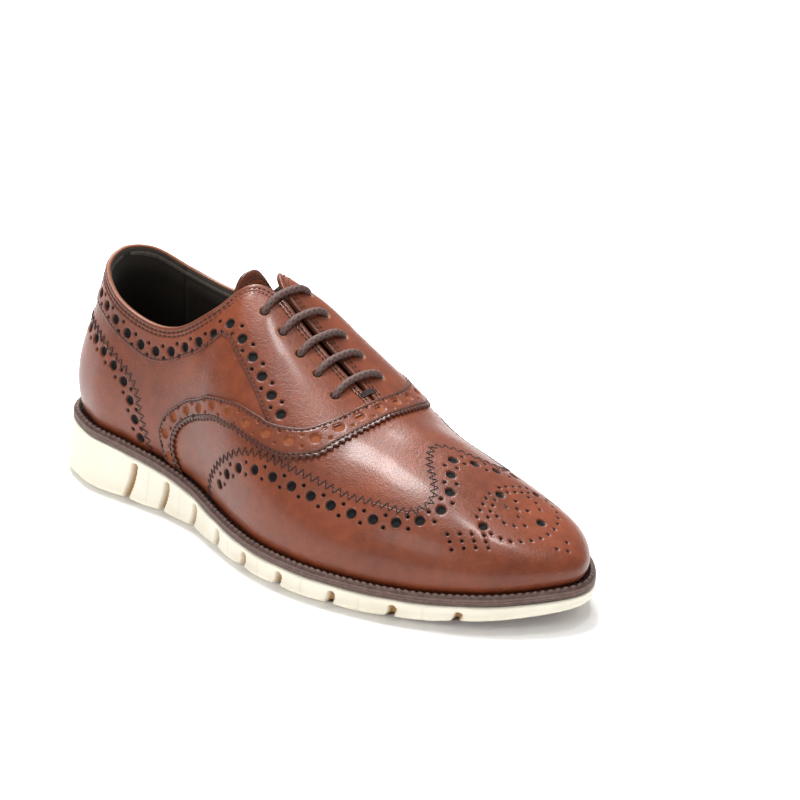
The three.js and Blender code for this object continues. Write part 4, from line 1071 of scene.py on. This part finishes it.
# ------------------------------------------------------------------ tongue
def tongue_point(s, q, depth):
    """Point of the tongue: along its centre line by s, out to its sides by q with a drop that grows as the
    square of the distance, and down by depth."""
    line = through(TONGUE_LINE, s)
    ahead = unit(through(TONGUE_LINE, s + 0.01) - through(TONGUE_LINE, s - 0.01))
    half = TONGUE_HALF_WIDTH * (0.86 + 0.14 * np.minimum(2 * s, 1) - 1.1 * np.maximum(s - 0.8, 0))
    y = q * half
    drop = TONGUE_ARCH * (1 + 0.6 * np.maximum(s - 0.6, 0) / 0.4) * y**2 + depth
    return np.stack([line[..., 0] - ahead[..., 1] * drop, y, line[..., 1] + ahead[..., 0] * drop], -1)


def rounded_top(s, q):
    """Shares along the tongue drawn back towards its sides, so that its free end is round."""
    return s * (1 - 0.11 * np.abs(q) ** 2.8)


def tongue_frame(s, q, depth=0.0):
    """Points of the tongue with normals from its differences along s and q."""
    place = tongue_point(s, q, depth)
    along = tongue_point(s + 0.01, q, depth) - tongue_point(s - 0.01, q, depth)
    across = tongue_point(s, q + 0.05, depth) - tongue_point(s, q - 0.05, depth)
    out = unit(np.cross(across, along))
    return place, np.where(out[..., 2:] < 0, -out, out)


def tongue_row(inset, pitch):
    """Starts, ends and normals of a stitch row that follows the tongue's sides and its rounded top."""
    q = 1 - inset / 16
    up, over = np.linspace(0.05, 1 - inset / 96, 80), np.linspace(-q, q, 30)[1:-1]
    s = np.concatenate([up, np.full(28, 1 - inset / 96), up[::-1]])
    q = np.concatenate([np.full(80, -q), over, np.full(80, q)])
    place, out = tongue_frame(rounded_top(s, q), q)
    gone = travelled(place)
    count = round(gone[-1] / pitch)
    begin = np.arange(count) * gone[-1] / count

    def at(values, where):
        """Values read by the length gone."""
        return np.stack([np.interp(where, gone, values[:, c]) for c in range(3)], -1)

    normal = unit(at(out, begin))
    return at(place, begin) - normal * 0.12, at(place, begin + 0.76 * pitch) - normal * 0.12, normal


def make_tongue(sizes, colours):
    """Tongue leather with rounded edges and a row of stitches round it, and the padding under it."""
    s, q = np.meshgrid(np.linspace(0, 1, 161), np.linspace(-1, 1, 61), indexing="ij")
    edge = np.minimum((1 - np.abs(q)) * 16, np.minimum(s, 1 - s) * 96)
    down = rolled(edge, 0.7) + furrow(edge, 2.4, 0.25) + furrow(edge, 4.2, 0.25)
    s = rounded_top(s, q)
    points, faces = shell(tongue_point(s, q, down), tongue_point(s, q, 1.4)[::2, ::2])
    # Darker along the tongue's edges: partly burnish, partly painted shade.
    marks = {"inside": np.zeros(len(points)), "raw": np.zeros(len(points)),
             "burnish_and_shade": np.concatenate([np.exp(-edge / 1.6).ravel(), np.zeros(len(points) - edge.size)])}
    new_piece("tongue", points, faces, finish_of("leather", colours), "tongue", ["tongue"],
              marks)
    starts, ends, outs = zip(*[tongue_row(inset, sizes.stitch) for inset in (2.4, 4.2)])
    stitches("tongue_seam", np.concatenate(starts), np.concatenate(ends), np.concatenate(outs),
             sizes.thread / 2, finish_of("thread", colours), body="tongue")
    s, q = np.meshgrid(np.linspace(0.01, 0.99, 81), np.linspace(-0.97, 0.97, 41), indexing="ij")
    belly = np.sqrt(np.clip(1 - np.abs(q / 0.97) ** 4, 0, 1) * np.clip(1 - np.abs((s - 0.5) / 0.49) ** 10, 0, 1))
    s = rounded_top(s, q)
    points, faces = shell(tongue_point(s, q, 3.0 - 1.2 * belly), tongue_point(s, q, 3.0 + 1.2 * belly)[::2, ::2])
    padding = new_piece("tongue_padding", points, faces, finish_of("lining", colours), "tongue",
                        ["tongue_padding"])


# ------------------------------------------------------------------ lacing
def crossing(hole, leaving):
    """One bar of lace: up through a hole, over both facings and down through the opposite hole."""
    u, v = hole
    toward = 1 if leaving == "lateral" else -1
    a, b = (v, 2 - v) if leaving == "lateral" else (2 - v, v)
    return [
        (u, a, LACE_UNDER + 0.8), (u, a, -2.4), (u, a + 0.006 * toward, 0.9), (u, a + 0.05 * toward, LACE_OVER),
        (u, 1 - 0.03 * toward, LACE_OVER + 0.3), (u, 1 + 0.03 * toward, LACE_OVER + 0.3),
        (u, b - 0.05 * toward, LACE_OVER), (u, b - 0.006 * toward, 0.9), (u, b, -2.4), (u, b, LACE_UNDER + 0.8)]


def lace_path(step):
    """The whole lace, tucked in at both ends and straight across at each pair of holes, as one centripetal
    curve cut into even steps."""
    route = [(0.44, 0.56, LACE_UNDER - 2.4), (0.462, 0.64, LACE_UNDER - 1.2), (0.484, 0.72, LACE_UNDER - 0.3),
             (0.505, 0.81, LACE_UNDER)]
    for i, hole in enumerate(LACE_HOLES):
        route += crossing(hole, "medial" if i % 2 else "lateral")
    route += [(0.648, 1.2, LACE_UNDER), (0.61, 1.27, LACE_UNDER - 0.3), (0.57, 1.35, LACE_UNDER - 1.2),
              (0.53, 1.43, LACE_UNDER - 2.4)]
    u, w, offset = np.array(route).T
    knots = lifted(u, w, offset)
    chord = np.sqrt(np.linalg.norm(np.diff(knots, axis=0), axis=-1))
    rows = np.column_stack([np.concatenate([[0], np.cumsum(chord)]), knots])
    fine = through(rows, np.linspace(0, rows[-1, 0], 6000))
    gone = travelled(fine)
    return np.stack([np.interp(np.arange(0, gone[-1], step), gone, fine[:, c]) for c in range(3)], -1)


def carried_frames(path):
    """Side vectors that don't twist: a first one carried along the path by dropping its forward part, at every
    fourth point, and filled in between."""
    forward = unit(np.gradient(path, axis=0))
    some = forward[::4]
    side = [np.cross(some[0], (0.0, 0.0, 1.0))]
    for way in some[1:]:
        kept = side[-1] - way * side[-1].dot(way)
        side.append(kept / np.linalg.norm(kept))
    side = np.array(side)
    at = np.arange(len(path))
    filled = np.stack([np.interp(at, at[::4], side[:, c]) for c in range(3)], -1)
    filled = unit(filled - forward * (filled * forward).sum(-1, keepdims=True))
    return filled, np.cross(forward, filled)


def make_lacing(sizes, colours):
    """Round woven lace: rings along the path, raised where two sets of four strands wind round it against each
    other."""
    step, around = 0.36, 24
    path = lace_path(step)
    side, up = carried_frames(path)
    turn = np.arange(around) * 2 * np.pi / around
    wind = np.arange(len(path))[:, None] * step * 2 * np.pi / 3.4
    strand = np.maximum(np.cos(4 * turn[None] + wind), np.cos(4 * turn[None] - wind))
    radius = LACE_RADIUS * (0.93 + 0.07 * strand)
    radius[:3] *= np.array([0.4, 0.8, 0.95])[:, None]
    radius[-3:] *= np.array([0.95, 0.8, 0.4])[:, None]
    ring = side[:, None] * np.cos(turn)[:, None] + up[:, None] * np.sin(turn)[:, None]
    points = path[:, None] + ring * radius[..., None]
    last = (len(path) - 1) * around
    faces = [grid_faces(len(path), around, close_columns=True), np.arange(around)[None, ::-1],
             (np.arange(around) + last)[None]]
    # The strand mark also carries the lace's painted highlight on its ridges.
    new_piece("lace", points, faces, finish_of("lace", colours), replaces=["lace"],
              marks={"strand": (strand * 0.5 + 0.5)})


def make_bar_tack(sizes, colours):
    """Bar tack: four heavy stitches laid side by side across the foot of the throat."""
    u = 0.6845 + 0.0018 * np.arange(4)
    starts, ends = lifted(u, 0.955, 1.1), lifted(u, 1.045, 1.1)
    outs = out_of_last(np.stack([u, np.full(4, 0.9995)], -1))
    stitches("bar_tack", starts, ends, outs, 0.32, finish_of("lace", colours), sink=0.5, rise=0.7,
             replaces=["bar_tack"], sides=8)


# ------------------------------------------------------------------ sole
def ground_z(x):
    """Rise of the ground face under the toe: the square of the share of the spring length."""
    return TOE_SPRING * np.maximum(0, (x - SPRING_START) / SPRING_LENGTH) ** 2


def flare(x):
    """Outward flare of the midsole, growing towards the heel."""
    return HEEL_FLARE * np.clip((-x - 40) / 90, 0, 1)


def perimeter(cell):
    """The whole feather outline once round, lateral side first: points, plan normals and length gone."""
    steps = round(340 / cell)
    (a, na), (b, nb) = footprint("lateral", 0, 1, steps), footprint("medial", 0, 1, steps)
    points, normals = np.concatenate([a[:-1], b[:0:-1]]), np.concatenate([na[:-1], nb[:0:-1]])
    return points, normals, travelled(points)


def welt_ring(reach, rise, cell):
    """Closed ring: a profile of reaches and rises over the feather line carried round the outline; both may
    change along it."""
    points, normals, gone = perimeter(cell)
    reach, rise = reach(gone[:, None]), rise(gone[:, None])
    flat = points[:, None, :2] + normals[:, None] * reach[..., None]
    return np.concatenate([flat, (feather_z(flat[..., 0]) + rise)[..., None]], -1), gone


def make_welt(sizes, colours):
    """Storm welt: a deep crease against the upper, a gimped bead, a flat lip and a ribbed edge."""
    profile = np.array([
        (-9.5, -4.4), (-4, -4.4), (2, -4.4), (4.2, -4.35), (4.6, -4.1), (4.72, -3.7), (4.5, -3.35), (4.72, -3.0),
        (4.74, -2.6), (4.52, -2.25), (4.7, -1.9), (4.62, -1.4), (4.3, -0.85), (3.9, -0.5), (3.5, -0.2),
        (3.1, 0.05),
        (2.7, 0.15), (2.3, 0.05), (1.9, -0.3), (1.6, -0.8), (1.2, -1.25), (0.6, -1.4), (0, -1.4), (-1.5, -1.4),
        (-5, -1.2), (-9.5, -0.9)])
    bead = np.clip(1 - np.abs(profile[:, 0] - 2.75) / 1.25, 0, 1) * (profile[:, 1] > -1.3)
    period = travelled(perimeter(0.6)[0])[-1] / 200

    def wave(gone):
        """Bumps of the gimped bead: a sharpened cosine along the welt."""
        return (0.5 + 0.5 * np.cos(2 * np.pi * gone / period)) ** 0.7

    def rise(gone):
        """Heights of the section: the profile's, lifted by the bumps on the bead."""
        return profile[:, 1] + bead * (0.75 * wave(gone) - 0.2)

    def reach(gone):
        """Outward reach of the section: the profile's, with the bumps standing out a little."""
        return profile[:, 0] + 0.25 * bead * (wave(gone) - 0.5)

    grid, gone = welt_ring(reach, rise, 0.6)
    # Mark for the paler outer face and the painted highlight on the bead's bumps.
    outer = (profile[:, 0] > 4.6)[None] * 0.6 + bead[None] * wave(gone[:, None])
    new_piece("welt", grid.reshape(-1, 3), [grid_faces(*grid.shape[:2], close_rows=True, close_columns=True)],
              finish_of("welt", colours), replaces=["welt"], marks={"high": outer})


def make_welt_seam(sizes, colours):
    """Heavy slanted stitches lying in the welt's crease, one for each bump of the bead."""
    points, normals, gone = perimeter(0.5)
    count = 200
    begin = np.arange(count) * gone[-1] / count

    def at(where, reach, rise):
        """A place beside the outline, by the length gone."""
        spot = np.stack([np.interp(where, gone, points[:, c]) for c in range(2)], -1)
        way = unit(np.stack([np.interp(where, gone, normals[:, c]) for c in range(2)], -1))
        flat = spot + way * reach
        return np.concatenate([flat, (feather_z(flat[:, 0]) + rise)[:, None]], -1)

    pitch = gone[-1] / count
    starts, ends = at(begin + 0.3 * pitch, 0.7, -0.75), at(begin + 1.05 * pitch, 1.35, -0.35)
    upright = np.tile([0.0, 0.0, 1.0], (count, 1))
    stitches("welt_stitching", starts, ends, upright, 0.5, finish_of("thread", colours), sink=0.35, rise=0.15,
             replaces=["welt_thread"])


def notch_places(side):
    """Length along one side's outline at each flex notch."""
    points = footprint(side, 0, 1, 2000)[0]
    return np.interp(NOTCH_X, points[:, 0], travelled(points))


def sole_wall(side, steps, levels):
    """One side wall of the midsole: its profile swept along the outline, with round-topped notches cut in and
    a faint line between each two."""
    foot, normal = footprint(side, 0, 1, steps)
    x = foot[:, :1]
    rows = np.linspace(0, 1, levels)[None]
    low, high = ground_z(x) + PAD_THICK + 0.3, feather_z(x) - WELT_HEIGHT - SOLE_GAP
    z = low + (high - low) * rows
    up, down = z - low, high - z
    bow = -0.5 * np.sin(np.pi * rows)
    reach = (WELT_REACH + 0.5 + flare(x) * (1 - 0.75 * rows) + bow - 2.6 * np.clip(1 - up / 3.2, 0, 1) ** 2.2
             - 0.9 * np.clip(1 - down / 1.2, 0, 1) ** 2)
    gone, places = travelled(foot)[:, None], notch_places(side)
    notch = np.zeros(z.shape)
    line, valley = np.zeros(z.shape), np.zeros(z.shape)
    for place in places:
        height = np.interp(place, gone[:, 0], (high - low)[:, 0]) - 3.2
        share = np.clip(up / height, 0, 1)
        middle = place + height * 0.32 * (share - 0.5) + 0.9 * np.sin(np.pi * share)
        away = np.hypot(gone - middle, np.maximum(up - height + 1.7, 0))
        notch = np.maximum(notch, np.clip((2.2 - away) / 1.0, 0, 1))
        valley = np.maximum(valley, np.exp(-(away / 5.5) ** 2))
    for place in (places[:-1] + places[1:]) / 2:
        line = np.maximum(line, np.exp(-(((gone - place - 0.1 * up) / 0.4) ** 2)) * np.clip(down / 3, 0, 1))
    smooth = notch**2 * (3 - 2 * notch)
    reach = reach - 4 * smooth - 0.35 * line - 0.9 * valley
    flat = foot[:, None, :2] + normal[:, None] * reach[..., None]
    # Returns the wall, the notch mark for the tan painted shade in the notches and lines, and the share near the
    # floor.
    return np.concatenate([flat, z[..., None]], -1), smooth + 0.12 * line, np.clip(1 - up / 9, 0, 1)


def make_midsole(sizes, colours):
    """Foam midsole: sections across the shoe, each up one wall, across the top, down the other wall and back
    across the bottom, where shallow grooves join the notches."""
    steps, levels, across = round(330 / sizes.cell), 30, 24
    left, left_notch_shade, left_low = sole_wall("lateral", steps, levels)
    right, right_notch_shade, right_low = sole_wall("medial", steps, levels)
    share = np.linspace(0, 1, across + 2)[None, 1:-1, None]
    top = left[:, -1:] + (right[:, -1:] - left[:, -1:]) * share
    bottom = right[:, :1] + (left[:, :1] - right[:, :1]) * share
    flex = np.zeros(bottom.shape[:2])
    for x in NOTCH_X:
        flex = np.maximum(flex, np.clip((2.2 - np.abs(bottom[..., 0] - x)) / 1.2, 0, 1))
    bottom[..., 2] += 2.2 * flex
    plain = np.zeros(top.shape[:2])
    grid = np.concatenate([left, top, right[:, ::-1], bottom], axis=1)
    # Notch mark: tan painted shade in the wall notches, the lines between and the grooves underneath.
    marks = {"notch": np.concatenate([left_notch_shade, plain, right_notch_shade[:, ::-1], flex], axis=1),
             "low": np.concatenate([left_low, plain, right_low[:, ::-1], plain + 1], axis=1)}
    new_piece("midsole", grid.reshape(-1, 3), [grid_faces(*grid.shape[:2], close_columns=True)],
              finish_of("foam", colours), replaces=["midsole"], marks=marks, weld=True)


def make_treads(sizes, colours):
    """Rubber tread pads with slanted cleats: a clipped wave presses grooves into the ground face."""
    for name, u0, u1 in (("heel_tread_pad", 0.02, 0.24), ("forefoot_tread_pad", 0.5, 0.98)):
        def bottom(x, y, edge):
            """Ground face with grooves 0.7 mm deep every 6 mm, bent at the middle, and a rounded rim."""
            wave = np.sin((x + 0.35 * np.abs(y)) * 2 * np.pi / 6)
            return ground_z(x) + 0.7 * np.clip(wave * 2.5 - 1.2, 0, 1) + rolled(edge, 0.5) * 0.8

        # The slab's fine grid is its first one, so the ground face is passed as the fine side.
        points, faces = slab(u0, u1, -2, 0.9, bottom, lambda x, y, edge: ground_z(x) + PAD_THICK)
        new_piece(name, points, faces, finish_of("tread", colours), replaces=[name])


def finish_hidden_parts(sizes, colours):
    """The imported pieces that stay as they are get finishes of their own: boards, eyelets and lace tips."""
    kinds = {"sole_filler": "board", "insole_board": "board", "aglet_lateral": "aglet", "aglet_medial": "aglet"}
    kinds.update({name: "brass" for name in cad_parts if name.startswith("eyelet_")})
    for name, kind in kinds.items():
        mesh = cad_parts[name].data
        mesh.materials.clear()
        mesh.materials.append(finish_of(kind, colours))


# ------------------------------------------------------------------ stage
def soft_light(name, place, target, size, power, tint=(1, 1, 1)):
    """A large square lamp turned to a target."""
    data = bpy.data.lights.new(name, "AREA")
    data.shape, data.size, data.energy, data.color = "SQUARE", size, power, tint
    lamp = bpy.data.objects.new(name, data)
    lamp.location = place
    lamp.rotation_euler = (Vector(target) - Vector(place)).to_track_quat("-Z", "Y").to_euler()
    bpy.context.scene.collection.objects.link(lamp)


def make_stage(sizes, colours):
    """Pale floor, white surroundings, soft lamps and the camera."""
    mesh = bpy.data.meshes.new("floor")
    mesh.from_pydata([(-4, -4, -2e-4), (4, -4, -2e-4), (4, 4, -2e-4), (-4, 4, -2e-4)], [], [(0, 1, 2, 3)])
    floor = bpy.data.objects.new("floor", mesh)
    bpy.context.scene.collection.objects.link(floor)
    finish = Finish("floor_paper")
    tone = finish.mix(finish.noise(3, 2).clipped(0.3, 0.7), srgb(246, 246, 247), srgb(250, 250, 250))
    mesh.materials.append(finish.done(Base_Color=tone, Roughness=0.9, Emission_Color=(1, 1, 1, 1),
                                      Emission_Strength=0.12))

    scene = bpy.context.scene
    scene.view_settings.view_transform = "Standard"
    world = bpy.data.worlds.new("white_room")
    scene.world = world
    world.use_nodes = True
    world.node_tree.nodes["Background"].inputs["Color"].default_value = (1, 1, 1, 1)
    world.node_tree.nodes["Background"].inputs["Strength"].default_value = 0.36

    centre = Vector(DATUM * 0.001) + Vector((0, 0, 0.05))
    soft_light("top_softbox", centre + Vector((-0.25, 0.05, 1.3)), centre, 0.36, 15)
    soft_light("toe_softbox", centre + Vector((0.33, 0.08, 1.3)), centre, 0.16, 4)
    soft_light("front_softbox", centre + Vector((0.2, -1.3, 0.9)), centre, 0.6, 4)
    soft_light("back_softbox", centre + Vector((-0.8, 0.8, 1.1)), centre, 0.5, 17)

    azimuth, elevation, distance = math.radians(42.5), math.radians(24), 1.8
    back = Vector((math.sin(azimuth) * math.cos(elevation), -math.cos(azimuth) * math.cos(elevation),
                   math.sin(elevation)))
    data = bpy.data.cameras.new("camera")
    data.lens, data.sensor_width = 177.15, 36
    data.shift_x, data.shift_y = 0.094, 0.041
    camera = bpy.data.objects.new("camera", data)
    camera.location = centre + back * distance
    camera.rotation_euler = (-back).to_track_quat("-Z", "Y").to_euler()
    scene.collection.objects.link(camera)
    scene.camera = camera


# ------------------------------------------------------------------ settings and operators
def colour(name, description, value):
    """A colour setting."""
    return bpy.props.FloatVectorProperty(name=name, description=description, size=4, min=0, max=1,
                                         default=value, subtype="COLOR")


class OxfordSizes(bpy.types.PropertyGroup):
    """Sizes of the leatherwork, in millimetres."""
    cell: bpy.props.FloatProperty(name="Cell", description="Spacing of the leather grid", default=0.66, min=0.3)
    big_hole: bpy.props.FloatProperty(name="Big hole", description="Diameter of a big brogue hole", default=5)
    small_hole: bpy.props.FloatProperty(name="Small hole", description="Diameter of a small brogue hole",
                                        default=2)
    dot_hole: bpy.props.FloatProperty(name="Dot", description="Diameter of a medallion dot", default=1.8)
    lace_hole: bpy.props.FloatProperty(name="Lace hole", description="Diameter of a lace hole", default=4.2)
    hole_depth: bpy.props.FloatProperty(name="Hole depth", description="Depth of the punched holes", default=1.3)
    stitch: bpy.props.FloatProperty(name="Stitch", description="Pitch of the stitches", default=2.5, min=1)
    thread: bpy.props.FloatProperty(name="Thread", description="Thickness of the thread", default=0.62)
    zigzag: bpy.props.FloatProperty(name="Zig-zag", description="Half the width of the zig-zag seams", default=2)
    tooth: bpy.props.FloatProperty(name="Tooth", description="Pitch of the zig-zag seams", default=4, min=1)
    gimp: bpy.props.FloatProperty(name="Gimping", description="Depth of the band's saw edge", default=1.4)


class OxfordColours(bpy.types.PropertyGroup):
    """Colours of the materials."""
    leather: colour("Leather", "Lighter brown of the polished leather", srgb(142, 70, 40))
    leather_deep: colour("Deep leather", "Darker clouds in the leather", srgb(98, 45, 26))
    # Dark brown of the edge mark: partly burnish, partly painted shade along the edges.
    leather_burnish_and_shade: colour("Worn leather", "Burnish along cut edges", srgb(40, 19, 14))
    # Pale of the raw edge, also used for the painted highlight on the lace-hole rims.
    raw_edge_and_rim_highlight: colour("Raw edge", "Cut edge at the topline", srgb(150, 100, 72))
    # Near-black in the holes: painted shade over the backing beneath.
    hole_backing_shade: colour("Dark hole", "Backing seen through the holes", srgb(12, 10, 12))
    hole_warm: colour("Warm hole", "Leather seen through the band's holes", srgb(146, 80, 46))
    lining: colour("Lining", "Dark lining leather", srgb(27, 20, 11))
    lining_light: colour("Lining nap", "Lighter nap of the lining", srgb(40, 30, 18))
    thread: colour("Thread", "Dark waxed thread", srgb(24, 13, 12))
    thread_light: colour("Thread sheen", "Lighter plies of the thread", srgb(50, 30, 25))
    lace: colour("Lace", "Dark strands of the lace", srgb(46, 30, 28))
    # Light brown painted highlight on the lace's raised strands.
    lace_ridge_highlight: colour("Lace ridge", "Lighter strands of the lace", srgb(112, 84, 78))
    foam: colour("Foam", "Cream midsole", srgb(250, 246, 230))
    foam_shade: colour("Foam shade", "Warmer clouds of the midsole", srgb(244, 236, 214))
    # Darker, yellower foam in clouds towards the floor.
    foam_low_tone: colour("Soiled foam", "Wear near the floor", srgb(224, 208, 176))
    # Tan painted shade inside the flex notches.
    foam_notch_shade: colour("Notch", "Tan inside the flex notches", srgb(176, 138, 86))
    welt: colour("Welt", "Dark brown welt", srgb(66, 42, 36))
    # Paler outer face of the welt, and the painted highlight on the bead's bumps.
    welt_pale_and_highlight: colour("Welt wear", "Paler high spots of the welt", srgb(140, 112, 102))


def settings(context):
    """Sizes and colours of the scene."""
    return context.scene.oxford_sizes, context.scene.oxford_colours


class OXFORD_OT_stage(bpy.types.Operator):
    """Set out the floor, the light and the camera"""
    bl_idname = "oxford.stage"
    bl_label = "Stage"

    def execute(self, context):
        make_stage(*settings(context))
        return {"FINISHED"}


class OXFORD_OT_wing(bpy.types.Operator):
    """Build the toe wing-tip with its medallion and zig-zag seam"""
    bl_idname = "oxford.wing"
    bl_label = "Toe Wing-tip"

    def execute(self, context):
        make_wing(*settings(context))
        return {"FINISHED"}


class OXFORD_OT_vamp(bpy.types.Operator):
    """Build the vamp"""
    bl_idname = "oxford.vamp"
    bl_label = "Vamp"

    def execute(self, context):
        make_vamp(*settings(context))
        return {"FINISHED"}


class OXFORD_OT_quarters(bpy.types.Operator):
    """Build both quarters"""
    bl_idname = "oxford.quarters"
    bl_label = "Quarters"

    def execute(self, context):
        make_quarters(*settings(context))
        return {"FINISHED"}


class OXFORD_OT_collars(bpy.types.Operator):
    """Build both collar facings with their stitch rows"""
    bl_idname = "oxford.collars"
    bl_label = "Collar Facings"

    def execute(self, context):
        make_collars(*settings(context))
        return {"FINISHED"}


class OXFORD_OT_counter(bpy.types.Operator):
    """Build the heel counter cover with its zig-zag seam"""
    bl_idname = "oxford.counter"
    bl_label = "Heel Counter Cover"

    def execute(self, context):
        make_counter(*settings(context))
        return {"FINISHED"}


class OXFORD_OT_band(bpy.types.Operator):
    """Build the brogued band with its seams"""
    bl_idname = "oxford.band"
    bl_label = "Brogued Band"

    def execute(self, context):
        make_band(*settings(context))
        return {"FINISHED"}


class OXFORD_OT_linings(bpy.types.Operator):
    """Build the linings and the heel grip"""
    bl_idname = "oxford.linings"
    bl_label = "Linings"

    def execute(self, context):
        make_linings(*settings(context))
        return {"FINISHED"}


class OXFORD_OT_reinforcements(bpy.types.Operator):
    """Build the heel stiffener and the toe puff"""
    bl_idname = "oxford.reinforcements"
    bl_label = "Reinforcements"

    def execute(self, context):
        make_reinforcements(*settings(context))
        return {"FINISHED"}


class OXFORD_OT_collar_padding(bpy.types.Operator):
    """Build the foam under the collar"""
    bl_idname = "oxford.collar_padding"
    bl_label = "Collar Padding"

    def execute(self, context):
        make_collar_padding(*settings(context))
        return {"FINISHED"}


class OXFORD_OT_sock_liner(bpy.types.Operator):
    """Build the cushioned sock liner"""
    bl_idname = "oxford.sock_liner"
    bl_label = "Sock Liner"

    def execute(self, context):
        make_sock_liner(*settings(context))
        return {"FINISHED"}


class OXFORD_OT_tongue(bpy.types.Operator):
    """Build the tongue, its seam and its padding"""
    bl_idname = "oxford.tongue"
    bl_label = "Tongue"

    def execute(self, context):
        make_tongue(*settings(context))
        return {"FINISHED"}


class OXFORD_OT_lacing(bpy.types.Operator):
    """Build the woven lace and the bar tack"""
    bl_idname = "oxford.lacing"
    bl_label = "Lacing"

    def execute(self, context):
        make_lacing(*settings(context))
        make_bar_tack(*settings(context))
        return {"FINISHED"}


class OXFORD_OT_welt(bpy.types.Operator):
    """Build the storm welt and its stitching"""
    bl_idname = "oxford.welt"
    bl_label = "Welt"

    def execute(self, context):
        make_welt(*settings(context))
        make_welt_seam(*settings(context))
        return {"FINISHED"}


class OXFORD_OT_midsole(bpy.types.Operator):
    """Build the notched foam midsole"""
    bl_idname = "oxford.midsole"
    bl_label = "Midsole"

    def execute(self, context):
        make_midsole(*settings(context))
        return {"FINISHED"}


class OXFORD_OT_treads(bpy.types.Operator):
    """Build the rubber tread pads"""
    bl_idname = "oxford.treads"
    bl_label = "Tread Pads"

    def execute(self, context):
        make_treads(*settings(context))
        return {"FINISHED"}


class OXFORD_OT_hidden_parts(bpy.types.Operator):
    """Finish the boards, eyelets and lace tips that stay as packed"""
    bl_idname = "oxford.hidden_parts"
    bl_label = "Hidden Parts"

    def execute(self, context):
        finish_hidden_parts(*settings(context))
        return {"FINISHED"}


STEPS = [
    OXFORD_OT_stage, OXFORD_OT_lacing, OXFORD_OT_wing, OXFORD_OT_vamp, OXFORD_OT_quarters, OXFORD_OT_collars,
    OXFORD_OT_counter, OXFORD_OT_band, OXFORD_OT_linings, OXFORD_OT_reinforcements,
    OXFORD_OT_collar_padding, OXFORD_OT_sock_liner, OXFORD_OT_tongue, OXFORD_OT_welt, OXFORD_OT_midsole,
    OXFORD_OT_treads, OXFORD_OT_hidden_parts]


class OXFORD_PT_panel(bpy.types.Panel):
    """Steps and settings of the shoe"""
    bl_label = "Wing-tip Oxford"
    bl_idname = "OXFORD_PT_panel"
    bl_space_type = "VIEW_3D"
    bl_region_type = "UI"
    bl_category = "Oxford"

    def draw(self, context):
        for step in STEPS:
            self.layout.operator(step.bl_idname)
        for group in settings(context):
            for name in group.bl_rna.properties.keys():
                if name not in {"rna_type", "name"}:
                    self.layout.prop(group, name)


CLASSES = [OxfordSizes, OxfordColours, *STEPS, OXFORD_PT_panel]


def register():
    """Registers the classes and hangs the settings on the scene."""
    for cls in CLASSES:
        bpy.utils.register_class(cls)
    bpy.types.Scene.oxford_sizes = bpy.props.PointerProperty(type=OxfordSizes)
    bpy.types.Scene.oxford_colours = bpy.props.PointerProperty(type=OxfordColours)


def unregister():
    """Takes the settings and the classes away again."""
    del bpy.types.Scene.oxford_colours
    del bpy.types.Scene.oxford_sizes
    for cls in reversed(CLASSES):
        bpy.utils.unregister_class(cls)


def main():
    """Builds the shoe step by step."""
    register()
    for step in STEPS:
        group, name = step.bl_idname.split(".")
        getattr(getattr(bpy.ops, group), name)()


if __name__ == "__main__":
    main()
